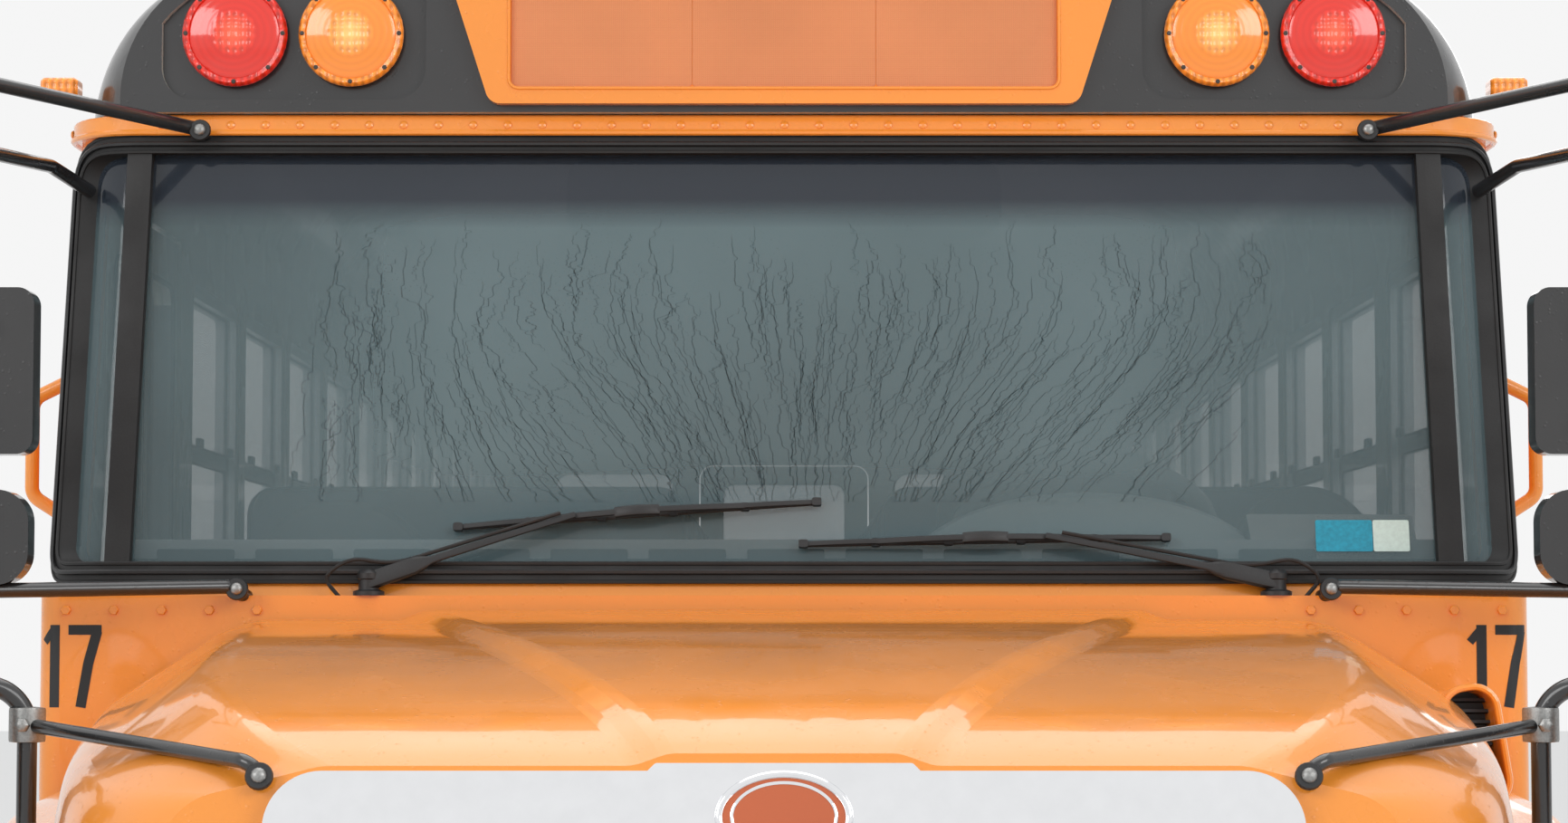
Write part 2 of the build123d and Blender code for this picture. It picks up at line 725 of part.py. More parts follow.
# Roof, with a raised rib over each window post
def roof():
    start, end = cap_rear_st, rear_body_st
    inner = body_profile(wall, eave_z)
    shape = along_y(body_profile(0, eave_z) - inner, at(start), at(end))
    rib = body_profile(-6, eave_z) - body_profile(0, eave_z)
    for i in range(window_count + 1):
        y = at(window_first_st + i * window_pitch)
        shape += along_y(rib, y - 22, y + 22)
    keep("roof", shape)
    hatches = []
    for station in (window_stations[2], window_stations[-3]):
        face = RectangleRounded(620, 620, 60)
        lid = along_z(Pos(0, at(station)) * face, roof_top - 14, roof_top + 45)
        hatches.append(lid - along_y(body_profile(0, 0), at(station) - 400, at(station) + 400))
    keep("roof_hatches", *hatches)


# Front body: cowl, windshield surround and door header
def cowl():
    back = at(door_front_st)
    face_y = at(cowl_st)
    plan = rounded([(-half_body, face_y), (half_body, face_y), (half_body, back), (-half_body, back)],
                   [cowl_corner, cowl_corner, 0, 0])
    inner = rounded([(-half_inner, face_y + wall), (half_inner, face_y + wall), (half_inner, back + 1),
                     (-half_inner, back + 1)], [0, 0, 0, 0])
    lower = along_z(plan, skirt_z, cowl_top_z) - along_z(inner, skirt_z - 1, cowl_top_z - 12)
    lower -= block(-half_inner, half_inner, face_y - 1, face_y + wall + 1, skirt_z - 1, cowl_low_z)
    lower -= front_tyre_space()
    lower -= block(-half_inner, half_inner, at(windshield_st) + wall + 10, back + 1, cowl_top_z - 13, cowl_top_z + 1)
    upper = front_form(0) - front_form(wall, cowl_top_z - 50, header_z + 50)
    upper &= block(-half_body - 1, half_body + 1, face_y, back, cowl_top_z, header_z)
    shape = lower + (upper - screen_opening())
    # The firewall closes the gap round the gearbox tunnel and the door header bridges the entrance
    shape += block(-half_body, -half_inner, back, at(door_rear_st), door_high_z + part_gap, eave_z)
    # The sides of the header continue to the cap
    for side in sides:
        x0, x1 = sorted((side * half_inner, side * half_body))
        shape += block(x0, x1, back, at(cap_rear_st), eave_z, header_z) & along_y(
            body_profile(0, 0), back - 10, at(cap_rear_st) + 10)
    keep("cowl", shape)


seal_proud = 10
seal_width = 30
divider_x = 1097
divider_width = 42


def windshield():
    clear = screen_opening(seal_width)
    skin = front_form(-seal_proud) - front_form(26, cowl_top_z - 20, header_z + 20)
    ring = skin & (screen_opening() - clear)
    posts = []
    for side in sides:
        x0, x1 = sorted((side * (divider_x - divider_width / 2), side * (divider_x + divider_width / 2)))
        posts.append(skin & clear & block(x0, x1, at(cowl_st) - 50, at(cowl_st) + 330, 1700, 2700))
    seal = joined([ring] + posts)
    keep("windshield_seal", seal)
    pane = (front_form(14) - front_form(14 + glass, cowl_top_z - 20, header_z + 20)) & clear
    for side in sides:
        x0, x1 = sorted((side * (divider_x - divider_width / 2), side * (divider_x + divider_width / 2)))
        pane -= block(x0, x1, at(cowl_st) - 50, at(cowl_st) + 330, 1700, 2700)
    keep("windshield", pane)


def cap_form(inset):
    """The moulded cap: sections that grow from its flat face back to the full roof."""
    faces = []
    length = cap_sections[-1][0]
    for back, half, eave, radius, top in cap_sections:
        shift = inset * (length - back) / length
        face = roof_profile(half, eave, radius, top, eave_z - 30, inset)
        faces.append(Plane.XZ.offset(-at(cap_st + back + shift)) * face)
    return loft(faces)


def lamp_pods():
    """Shallow pockets in the cap's face, one round each pair of lamps, kept inside the cap's outline."""
    _, half, eave, radius, top = cap_sections[0]
    within = roof_profile(half, eave, radius, top, eave_z, 26)
    middle_x, middle_z = sum(pod_x) / 2, sum(pod_z) / 2
    face = RectangleRounded(pod_x[1] - pod_x[0], pod_z[1] - pod_z[0], pod_radius)
    pods = [along_y((Pos(side * middle_x, middle_z) * face) & within, cap_face_y() - 1, cap_face_y() + pod_depth)
            for side in sides]
    return joined(pods)


def front_cap():
    shell = cap_form(0) - cap_form(cap_wall)
    face_y = cap_face_y()
    soffit = block(-half_body, half_body, face_y, face_y + 130, header_z, header_z + 20)
    shell += soffit & cap_form(0)
    shell -= lamp_pods()
    keep("front_cap", shell - block(-half_body - 1, half_body + 1, face_y - 50, at(cap_rear_st) + 1, 2400, header_z))


# Bonnet and fenders
def hood_plane(station, lean):
    """The cross-section's plane: station holds at z 1100 and the plane leans back by lean."""
    tilt = math.atan(lean)
    return Plane(origin=(0, at(station) - 1100 * lean, 0), x_dir=(1, 0, 0),
                 z_dir=(0, -math.cos(tilt), math.sin(tilt)))


def hood_section(row, inset, step_back=0):
    station, lean, fender, shoulder, upper, side_z, top, centre, low = row
    stretch = math.hypot(1, lean)
    f, u, crest = fender - inset, upper - inset, top - centre_rise - inset
    half = [
        (f, low - 2 * inset), (f, shoulder - inset), (u + 30, shoulder + 70 - inset), (u, side_z - inset),
        (u - 200, crest), (centre + 45, crest), (centre, top - inset),
    ]
    points = half + [(-x, z) for x, z in reversed(half)]
    radii = [0, 70, 50, 90, 110, 60, 60]
    face = rounded([(x, z * stretch) for x, z in points], radii + radii[::-1])
    return hood_plane(station + step_back, lean) * face


def hood_form(inset):
    return loft([hood_section(row, inset, inset if i == 0 else inset * (row is hood_sections[-1]))
                 for i, row in enumerate(hood_sections)])


# Chrome surround, with heights measured along the bonnet's leaning front face
grille_half_top = 690
grille_half_low = 540
grille_low_z = 890
grille_high_z = 1550
grille_band = 60
grille_band_top = 105
grille_proud = 26
grille_corner = 75
crest_half = 166
crest_rise = 10

# Air intake on the bonnet's driver's side
scoop_mouth_st = 1190
scoop_length = 230


def intake():
    """A scoop on the bonnet's upper side: its mouth faces forward and its shell runs out into the surface."""
    def section(station, x, width, height, radius):
        return Plane.XZ.offset(-at(station)) * (Pos(x, 1540) * Rot(0, 0, 9) * RectangleRounded(width, height, radius))
    mouth, tail = scoop_mouth_st, scoop_mouth_st + scoop_length
    shell = loft([section(mouth, 1068, 92, 190, 40), section(tail, 1048, 60, 150, 28)])
    pocket = loft([section(mouth - 1, 1070, 76, 174, 32), section(mouth + 120, 1064, 50, 150, 24)])
    return shell, pocket


def hood():
    shape = hood_form(0) - hood_form(hood_wall)
    shape -= joined(mirrored(rod_x(500, half_body + 80, front_axle_y, axle_z, front_arch_radius)))
    front = hood_plane(hood_sections[0][0], hood_sections[0][1])
    opening_low, opening_top = grille_half_low - grille_band, grille_half_top - grille_band
    opening_high = grille_high_z - grille_band_top + 10
    opening = polygon((-opening_low, 600), (opening_low, 600), (opening_top, opening_high),
                      (-opening_top, opening_high))
    shape -= extrude(front * opening, amount=60, both=True)
    shell, pocket = intake()
    shape = shape + (shell - hood_form(hood_wall)) - pocket
    # Arms from the front face to the hinge pins on the frame
    y = at(hood_hinge_st)
    for side in sides:
        x0, x1 = side * (hinge_inner_x + 40 + running_gap), side * (hinge_inner_x + 70)
        arm = rod_x(x0, x1, y, hood_hinge_z, 24)
        arm += block(x0, side * 560, y - 14, y + 14, hood_hinge_z + 5, hood_hinge_z + 60)
        arm += block(side * 500, side * 560, y - 50, y + 14, hood_hinge_z + 25, hood_hinge_z + 60)
        arm -= rod_x(x0 - side, side * (hinge_inner_x + 72 + running_gap), y, hood_hinge_z,
                     hinge_pin_radius + running_gap)
        shape += arm & hood_form(2)
    keep("hood", shape)


def grille():
    """A broad chrome surround with a raised crest, and bars across its opening."""
    front = hood_plane(hood_sections[0][0], hood_sections[0][1])
    outer = rounded([(-grille_half_low, grille_low_z), (grille_half_low, grille_low_z),
                     (grille_half_top, grille_high_z), (-grille_half_top, grille_high_z)], [grille_corner] * 4)
    crest = rounded([(-crest_half - 12, grille_high_z - 2), (crest_half + 12, grille_high_z - 2),
                     (crest_half, grille_high_z + crest_rise), (-crest_half, grille_high_z + crest_rise)],
                    [0, 0, 6, 6])
    low, high = grille_low_z + grille_band * 0.75, grille_high_z - grille_band_top
    span = high - low
    hole = rounded([(grille_band - grille_half_low, low), (grille_half_low - grille_band, low),
                    (grille_half_top - grille_band, high), (grille_band - grille_half_top, high)], [40] * 4)
    shape = extrude(front * (outer + crest - hole), amount=grille_proud)
    bars = 7
    for i in range(bars):
        bar = Pos(0, low + (i + 0.5) * span / bars) * Rectangle(2 * grille_half_top, 30)
        shape += extrude(front * (bar & hole), amount=14)
    for x in (-260, 0, 260):
        shape += extrude(front * (Pos(x, low + span / 2) * Rectangle(14, span + 4)), amount=8)
    badge = Pos(0, high + grille_band_top / 2 - 8) * Ellipse(91, 62)
    shape += extrude(front * badge, amount=grille_proud + 6)
    keep("grille", shape)


headlamp_x = 800
headlamp_z = 1010
headlamp_width = 330
headlamp_height = 210


def headlamps():
    front = hood_plane(hood_sections[0][0], hood_sections[0][1])
    pieces = []
    for side in sides:
        face = Pos(side * headlamp_x, headlamp_z) * RectangleRounded(headlamp_width, headlamp_height, 50)
        pieces.append(extrude(front * face, amount=28))
    keep("headlamps", *pieces)


def crossview_mirrors():
    """Egg-shaped mirrors on posts from the fenders, each with a brace to the bonnet's front corner."""
    tube = 14
    pieces, heads = [], []
    for side in sides:
        x, st = 1055, 640
        fender_z = 1225
        post = bent_tube([(side * x, at(st), fender_z), (side * x, at(st), 1640),
                          (side * (x + 175), at(st - 60), 1640)], tube, 60)
        brace = bent_tube([(side * 650, at(hood_nose_st + 95), 1490), (side * 690, at(hood_nose_st + 60), 1545),
                           (side * x, at(st), 1585)], 10, 25)
        clamp = rod_z(side * x, at(st), 1563, 1607, 24)
        foot = rod_z(side * x, at(st), fender_z - 20, fender_z + 50, 34)
        pieces.append(joined([post, brace, clamp, foot]))
        head = Pos(side * (x + 200), at(st - 80), 1560) * scale(Sphere(1), by=(115, 85, 165))
        heads.append(head - pieces[-1])
    shape = []
    for stand, head in zip(pieces, heads):
        shape.append(stand + head)
    keep("crossview_mirrors", *[s - hood_form(0) for s in shape])


# Bumpers
def front_bumper():
    plan = [(-1195, at(210)), (-1195, at(80)), (-1090, at(0)), (1090, at(0)), (1195, at(80)), (1195, at(210))]
    t = bumper_thickness
    inner = [(t - 1195, at(211)), (t - 1195, at(80) + 4), (-1090 + 3, at(t)), (1090 - 3, at(t)),
             (1195 - t, at(80) + 4), (1195 - t, at(211))]
    outer_face = rounded(plan, [0, 70, 90, 90, 70, 0])
    inner_face = rounded(inner, [0, 62, 82, 82, 62, 0])
    shell = along_z(outer_face, bumper_low_z, bumper_high_z) - along_z(inner_face, bumper_low_z + t,
                                                                       bumper_high_z - t)
    deep = [(70 - 1195, at(212)), (70 - 1195, at(120)), (-1060, at(70)), (1060, at(70)), (1195 - 70, at(120)),
            (1195 - 70, at(212))]
    shell -= along_z(rounded(deep, [0, 30, 40, 40, 30, 0]), bumper_low_z - 1, bumper_high_z + 1)
    for side in sides:
        x0, x1 = side * (rail_outer_x - rail_flange), side * rail_outer_x
        shell += block(x0, x1, at(t) - 1, at(front_bumper_depth), rail_low_z, bumper_high_z)
    return shell


def rear_bumper():
    t, end = bumper_thickness, overall_length
    outer = [(-1190, at(end - 140)), (1190, at(end - 140)), (1190, at(end)), (-1190, at(end))]
    inner = [(t - 1190, at(end - 141)), (1190 - t, at(end - 141)), (1190 - t, at(end - t)), (t - 1190, at(end - t))]
    deep = [(70 - 1190, at(end - 142)), (1190 - 70, at(end - 142)), (1190 - 70, at(end - 60)),
            (70 - 1190, at(end - 60))]
    shell = along_z(rounded(outer, [0, 0, 60, 60]), bumper_low_z, bumper_high_z)
    shell -= along_z(rounded(inner, [0, 0, 52, 52]), bumper_low_z + t, bumper_high_z - t)
    shell -= along_z(rounded(deep, [0, 0, 20, 20]), bumper_low_z - 1, bumper_high_z + 1)
    for side in sides:
        x0, x1 = side * (rail_outer_x - rail_flange), side * rail_outer_x
        shell += block(x0, x1, at(end - rear_bumper_depth), at(end - t) + 1, rail_low_z, bumper_high_z)
    return shell


def bumpers():
    keep("bumpers", front_bumper(), rear_bumper())


# Rear end of the body
door_half = 360
rear_door_low_z = 1000
rear_door_high_z = 2450
rear_hinge_x = -(door_half + 10)
rear_hinge_out = 15
knuckle_radius = 9


def rear_shell(inset, y0):
    shape = along_y(body_profile(inset, skirt_z - inset), y0, body_rear_y - inset)
    edge_y = body_rear_y - inset
    rim_edges = [e for e in shape.edges() if abs(e.center().Y - edge_y) < 0.01 and e.center().Z > skirt_z + 5]
    return fillet(rim_edges, rear_corner - inset)


def rear_body():
    y0 = at(rear_body_st)
    shape = rear_shell(0, y0) - rear_shell(wall, y0 - 1)
    door = Pos(0, (rear_door_low_z + rear_door_high_z) / 2) * RectangleRounded(
        2 * door_half, rear_door_high_z - rear_door_low_z, 60)
    shape -= along_y(door, body_rear_y - 200, body_rear_y + 10)
    panes = []
    for side in sides:
        face = Pos(side * 720, (window_low_z + window_high_z) / 2) * RectangleRounded(
            500, window_high_z - window_low_z, 60)
        shape -= along_y(face, body_rear_y - 200, body_rear_y + 10)
        panes.append(along_y(face, body_rear_y - 30, body_rear_y - 24))
    for side in sides:
        shape -= block(side * (rail_outer_x - rail_flange - 12), side * (rail_outer_x + 12), body_rear_y - 100,
                       body_rear_y + 1, skirt_z - 50, rail_top_z + 12)
    for low, high in knuckle_spans(body=True):
        shape += rod_z(rear_hinge_x, body_rear_y + rear_hinge_out, low, high, knuckle_radius)
        shape += block(rear_hinge_x - 45, rear_hinge_x, body_rear_y - 1, body_rear_y + rear_hinge_out - 4, low, high)
    # Holder for a blank number plate, with its four screw holes
    plate = Pos(0, 860) * Rectangle(310, 160)
    for dx in sides:
        for dz in sides:
            plate -= Pos(dx * plate_pitch_x / 2, 860 + dz * plate_pitch_z / 2) * Circle(plate_hole)
    for dx in sides:
        for dz in sides:
            shape -= rod_y(dx * plate_pitch_x / 2, body_rear_y - wall - 5, body_rear_y + 10,
                           860 + dz * plate_pitch_z / 2, plate_hole)
    keep("rear_body", shape + along_y(plate, body_rear_y, body_rear_y + 6))
    return panes


def rear_end():
    """The rear body with the sashes and panes of every fixed window."""
    keep("body_glass", *window_sets(), *rear_body())


plate_pitch_x = 178
plate_pitch_z = 121
plate_hole = 3.5
knuckle_middles = (1200, 1725, 2250)


def knuckle_spans(body):
    spans = []
    for middle in knuckle_middles:
        if body:
            spans += [(middle - 55, middle - 20 - running_gap), (middle + 20 + running_gap, middle + 55)]
        else:
            spans.append((middle - 20, middle + 20))
    return spans


def emergency_door():
    gap = 6
    middle = (rear_door_low_z + rear_door_high_z) / 2
    height = rear_door_high_z - rear_door_low_z - 2 * gap
    y0, y1 = body_rear_y - 40, body_rear_y
    leaf = along_y(Pos(0, middle) * RectangleRounded(2 * (door_half - gap), height, 54), y0, y1)
    panes = []
    for low, high in ((1080, 1480), (1745, 2370)):
        face = Pos(0, (low + high) / 2) * RectangleRounded(520, high - low, 50)
        leaf -= along_y(face, y0 - 1, y1 + 1)
        panes.append(along_y(face, y1 - 26, y1 - 20))
    for low, high in knuckle_spans(body=False):
        leaf += rod_z(rear_hinge_x, y1 + rear_hinge_out, low, high, knuckle_radius)
        leaf += block(rear_hinge_x, rear_hinge_x + 70, y1 + 2, y1 + rear_hinge_out - 4, low, high)
        leaf += block(rear_hinge_x + 25, rear_hinge_x + 70, y1 - 1, y1 + 3, low, high)
    handle = block(200, 330, y1 + 25, y1 + 40, 1590, 1612) + block(205, 222, y1 - 1, y1 + 30, 1588, 1614)
    leaf += handle + block(308, 325, y1 - 1, y1 + 30, 1588, 1614)
    keep("emergency_door", leaf)
    keep("emergency_door_glass", *panes)


# Entrance door: two leaves that open outward about their outer edges
def service_doors():
    centre_st = (door_front_st + door_rear_st) / 2
    x_out, x_in = -(door_axis_x + door_thickness / 2), -(door_axis_x - door_thickness / 2)
    for name, toward in (("front", 1), ("rear", -1)):
        axis_y = at(door_front_st + door_nose) if toward > 0 else at(door_rear_st - door_nose)
        edge_y = at(centre_st) - toward * 5
        nose = rod_z(-door_axis_x, axis_y, door_low_z, door_high_z, door_thickness / 2)
        leaf = nose + block(x_out, x_in, axis_y, edge_y, door_low_z, door_high_z)
        panes = []
        mid_y = (axis_y + edge_y) / 2 + toward * 8
        width = abs(edge_y - axis_y) - 100
        for low, high in ((470, 1280), (1400, 2380)):
            face = Pos(mid_y, (low + high) / 2) * RectangleRounded(width, high - low, 40)
            leaf -= along_x(face, x_out - 1, x_in + 1)
            panes.append(along_x(face, -door_axis_x - 3, -door_axis_x + 3))
        header_low = door_high_z + part_gap
        leaf += rod_z(-door_axis_x, axis_y, door_high_z - 5, header_low - running_gap, 10)
        leaf += rod_z(-door_axis_x, axis_y, door_low_z - 12 + running_gap, door_low_z + 5, 10)
        keep(f"service_door_{name}", leaf)
        keep(f"service_door_{name}_glass", *panes)


# Stop arm on the driver's side
stop_hinge_st = door_rear_st + 40
stop_hinge_x = half_body + 30
stop_middle_z = 1480


def stop_arm():
    y = at(stop_hinge_st)
    lugs = []
    for low, high in ((stop_middle_z - 120, stop_middle_z - 85 - running_gap),
                      (stop_middle_z + 85 + running_gap, stop_middle_z + 120)):
        lugs.append(block(half_body, stop_hinge_x, y - 20, y + 20, low, high)
                    + rod_z(stop_hinge_x, y, low, high, 20))
    keep("stop_arm_hinge", *lugs)
    arm = rod_z(stop_hinge_x, y, stop_middle_z - 85, stop_middle_z + 85, 14)
    arm += block(stop_hinge_x - 6, stop_hinge_x + 6, y, y + 120, stop_middle_z - 60, stop_middle_z + 60)
    sign = Pos(y + 300, stop_middle_z) * Rot(0, 0, 22.5) * RegularPolygon(228.6, 8, major_radius=False)
    arm += along_x(sign, stop_hinge_x - 6, stop_hinge_x + 6)
    keep("stop_arm", arm)


# Outside mirrors on tubular frames
mirror_st = cowl_st - 230
mirror_tube_x = 1285


def side_mirrors():
    tube = 12
    pieces = []
    for side in sides:
        y, x = at(mirror_st), side * mirror_tube_x
        lean = math.tan(math.radians(windshield_rake))
        top_y = at(windshield_st) + (2540 - cowl_top_z) * lean
        upper_z = 2590
        frame = bent_tube([(side * 880, at(cowl_st + 14), cowl_top_z - 2), (side * 900, at(cowl_st - 30), 1790),
                           (x, y, 1780), (x, y, upper_z), (side * 1000, top_y - 20, upper_z - 18),
                           (side * 976, top_y + 12, upper_z - 32)], tube, 22)
        stay = bent_tube([(side * 1188, at(cowl_st + 245), 2470), (side * 1235, at(cowl_st + 140), 2500),
                           (x, y + 5, 2480)], tube, 40)
        pieces.append(frame + stay)
        flat = Pos(side * (mirror_tube_x - 5), y + 36, 2128) * Box(190, 55, 264)
        flat = fillet(flat.edges().filter_by(Axis.Y), 26)
        round_head = Pos(side * (mirror_tube_x - 5), y + 34, 1865) * Box(180, 50, 150)
        round_head = fillet(round_head.edges().filter_by(Axis.Y), 50)
        pieces[-1] = seated(pieces[-1] + flat + round_head, "cowl", "drip_rail", "windshield_seal")
    keep("side_mirrors", *pieces)


# Warning lamps, tail lamps and marker lamps
rear_lamp_z = 2690
tail_red_z = 1480
tail_amber_z = 1270
marker_st = cap_st + 100
marker_z = 2655


def cap_face_y():
    return at(cap_st)


def roof_marker(x, y, z):
    lamp = block(x - 50, x + 50, y - 22, y + 22, z - 60, z)
    return fillet(lamp.edges().group_by(Axis.Z)[-1], 10)


def lamps():
    """Lamps of one colour share a node, the small side and roof markers among them."""
    pod_floor, front = cap_face_y() + pod_depth, cap_face_y() - lamp_proud
    rear, tail = body_rear_y, body_rear_y + lamp_proud
    cap, rear_roof = cap_form(0), along_y(body_profile(0, eave_z), at(rear_body_st), at(body_rear_st))
    red, amber = [], []
    for side in sides:
        red.append(rod_y(side * red_lamp_x, front, pod_floor, warning_lamp_z, lamp_radius))
        red.append(rod_y(side * 900, rear, tail, rear_lamp_z, lamp_radius))
        red.append(rod_y(side * 960, rear, tail, tail_red_z, lamp_radius))
        amber.append(rod_y(side * amber_lamp_x, front, pod_floor, warning_lamp_z, lamp_radius))
        amber.append(rod_y(side * 695, rear, tail, rear_lamp_z, lamp_radius))
        amber.append(rod_y(side * 960, rear, tail, tail_amber_z, lamp_radius))
        y = at(marker_st)
        amber.append(block(side * 1150, side * 1290, y - 28, y + 28, marker_z - 17, marker_z + 17) - cap)
    for x in (-160, 0, 160):
        amber.append(roof_marker(x, at(cap_st + 140), roof_top - 38) - cap)
        red.append(roof_marker(x, at(rear_body_st + 120), roof_top + 16) - rear_roof)
    keep("red_lamps", *red)
    keep("amber_lamps", *amber)


def sign_housing():
    proud = 22
    front = cap_face_y()
    points = [(-500, 2612), (500, 2612), (578, 2855), (-578, 2855)]
    body = along_y(rounded(points, [25, 25, 40, 40]), front - proud, front)
    body -= along_y(Pos(0, 2735) * RectangleRounded(930, 190, 14), front - proud - 1, front - proud + 8)
    keep("sign_housing", body)


def drip_rail():
    low, high = 2566, 2594
    rail = front_form(-18) - front_form(0, cowl_top_z - 20, header_z + 20)
    rail &= block(-half_body - 30, half_body + 30, at(cowl_st), at(2100), low, high)
    keep("drip_rail", seated(rail, "cowl"))


# Wipers: columns are pivot x, arm's end x, blade from x, blade to x, height of the blade's ends
wiper_table = [(-680, -344, -538, 54, 117, 160), (806, 430, 630, 32, 99, 88)]


def wipers():
    rake = math.radians(windshield_rake)
    screen = Plane(origin=(0, at(windshield_st), cowl_top_z), x_dir=(1, 0, 0),
                   z_dir=(0, -math.cos(rake), math.sin(rake)))
    pieces = []
    for pivot_x, end_x, blade_x0, blade_x1, h0, h1 in wiper_table:
        hm = h0 + (end_x - blade_x0) / (blade_x1 - blade_x0) * (h1 - h0)
        pivot = rod_z(pivot_x, at(cowl_st + 16), cowl_top_z, cowl_top_z + 40, 15)
        arm_face = polygon((pivot_x, 9), (end_x, hm - 6), (end_x, hm + 6), (pivot_x, 27))
        arm = extrude(screen.offset(22) * arm_face, amount=8)
        blade_face = polygon((blade_x0, h0 - 6), (blade_x1, h1 - 6), (blade_x1, h1 + 6), (blade_x0, h0 + 6))
        blade = extrude(screen.offset(-11) * blade_face, amount=35)
        pieces.append(seated(pivot + arm + blade, "cowl", "windshield_seal", "windshield"))
    keep("wipers", *pieces)


# Grab handles on the body's front corners
def grab_handles():
    y, low, high, reach = at(cowl_st + 270), 1905, 2150, 66
    x = half_body
    handle = bent_tube([(x - 4, y, low), (x + reach, y, low + 45), (x + reach, y, high - 35), (x - 4, y, high)],
                       12, 28)
    handle += rod_x(x, x + 6, y, low, 24)
    handle += rod_x(x, x + 6, y, high, 24)
    keep("grab_handles", *[seated(h, "cowl") for h in mirrored(handle)])


# Inside: benches, driver's place
def benches():
    pads, frames, legs = [], [], []
    for st in bench_stations:
        for side in sides:
            inner, outer = half_inner - 20 - bench_width, half_inner - 20
            x0, x1 = sorted((side * inner, side * outer))
            y = at(st)
            top = floor_top + cushion_top
            cushion = block(x0, x1, y - 250, y - 250 + bench_depth, top - cushion_thickness, top)
            back = block(x0, x1, y + 140, y + 140 + back_thickness, top - 100, floor_top + back_top)
            pads += [cushion, back]
            pan = block(x0, side * half_inner if side > 0 else x1, y - 235, y + 225,
                        top - cushion_thickness - 25, top - cushion_thickness)
            if side < 0:
                pan = block(-half_inner, x1, y - 235, y + 225, top - cushion_thickness - 25,
                            top - cushion_thickness)
            legs.append(block(side * (inner + 20), side * (inner + 70), y - 120, y + 200, floor_top,
                              top - cushion_thickness - 25))
            frame = pan
            for x in (inner + 40, outer - 70):
                frame += block(side * x, side * (x + 30), y + 130.3, y + 139.7, top - cushion_thickness - 5, top + 60)
            frames.append(frame)
    return pads, frames, legs


driver_x = 530


def inside():
    y = at(cowl_st + 920)
    base = block(driver_x - 180, driver_x + 180, y - 200, y + 200, floor_top, floor_top + 289)
    cushion = block(driver_x - 250, driver_x + 250, y - 250, y + 210, floor_top + 330, floor_top + 450)
    back = block(driver_x - 240, driver_x + 240, y + 215, y + 325, floor_top + 400, floor_top + 1130)
    bracket = block(driver_x - 200, driver_x + 200, y - 220, y + 325, floor_top + 289, floor_top + 329.7)
    bracket += block(driver_x - 60, driver_x + 60, y + 215, y + 325, floor_top + 320, floor_top + 399.7)
    pads, frames, legs = benches()
    keep("seat_pads", *pads, cushion, back)
    keep("seat_frames", *frames, bracket)
    keep("seat_legs", *legs, base)
    y, high = at(cowl_st) + wall, cowl_top_z - 14
    profile = [(y, 1300), (y + 145, 1300), (y + 255, 1480), (y + 255, 1690), (y + 205, high), (y, high)]
    dash = along_x(polygon(*profile), -430, half_inner)
    shelf = [(y, 1480), (y + 145, 1560), (y + 145, high), (y, high)]
    dash += along_x(polygon(*shelf), -half_inner, -430)
    tilt = 35
    wheel_y, wheel_z = at(cowl_st + 500), 1880
    wheel_at = Pos(driver_x, wheel_y, wheel_z) * Rot(-tilt, 0, 0)
    column = wheel_at * Pos(0, 0, -195) * Cylinder(38, 390)
    dash += column
    wheel = wheel_at * Torus(225, 15)
    for turn in (0, 90, 180, 270):
        wheel += wheel_at * Rot(0, 0, turn) * Pos(112, 0, 0) * Box(225, 26, 12)
    wheel += wheel_at * Cylinder(52, 30)
    keep("dashboard", dash + wheel)


def mud_flaps():
    pieces = []
    for side in sides:
        y = rear_axle_y + 690
        pieces.append(block(side * 720, side * 1160, y, y + 10, 260, 800)
                      + block(side * rail_outer_x, side * 1160, y, y + 30, 800, 830))
    keep("mud_flaps", *pieces)


def radiator():
    y = at(440)
    keep("radiator", block(-330, 330, y, y + 60, rail_top_z - 120, 1400)
         + block(-rail_outer_x, rail_outer_x, y, y + 60, rail_top_z, rail_top_z + 40))


for step in (chassis_frame, front_axle, springs, steering, rear_axle, wheels, drivetrain, radiator, fuel_tank,
             exhaust, mud_flaps, bumpers, rear_end, floor, entrance_steps, side_walls, rub_rails, roof, front_cap,
             sign_housing, cowl, drip_rail, windshield, lamps, side_mirrors, wipers, grab_handles, hood, grille,
             headlamps, crossview_mirrors, emergency_door, service_doors, stop_arm, inside):
    step()

os.makedirs("parts", exist_ok=True)
for name, shape in nodes.items():
    export_step(shape, f"parts/{name}.step")
    print(name, len(shape.solids()), round(shape.volume / 1e6, 1))
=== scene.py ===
# %% [markdown]
# # A school bus, dressed piece by piece
# The bus comes in as a imported frame of plain solids, each in its true place, and every cell below gives one
# of them its finish or adds one small part. We load that frame first and note the front bumper's box.
# Stations run back from the front bumper's face, because a body builder measures a bus that way, and one
# function turns a station into the frame's own Y.

import math

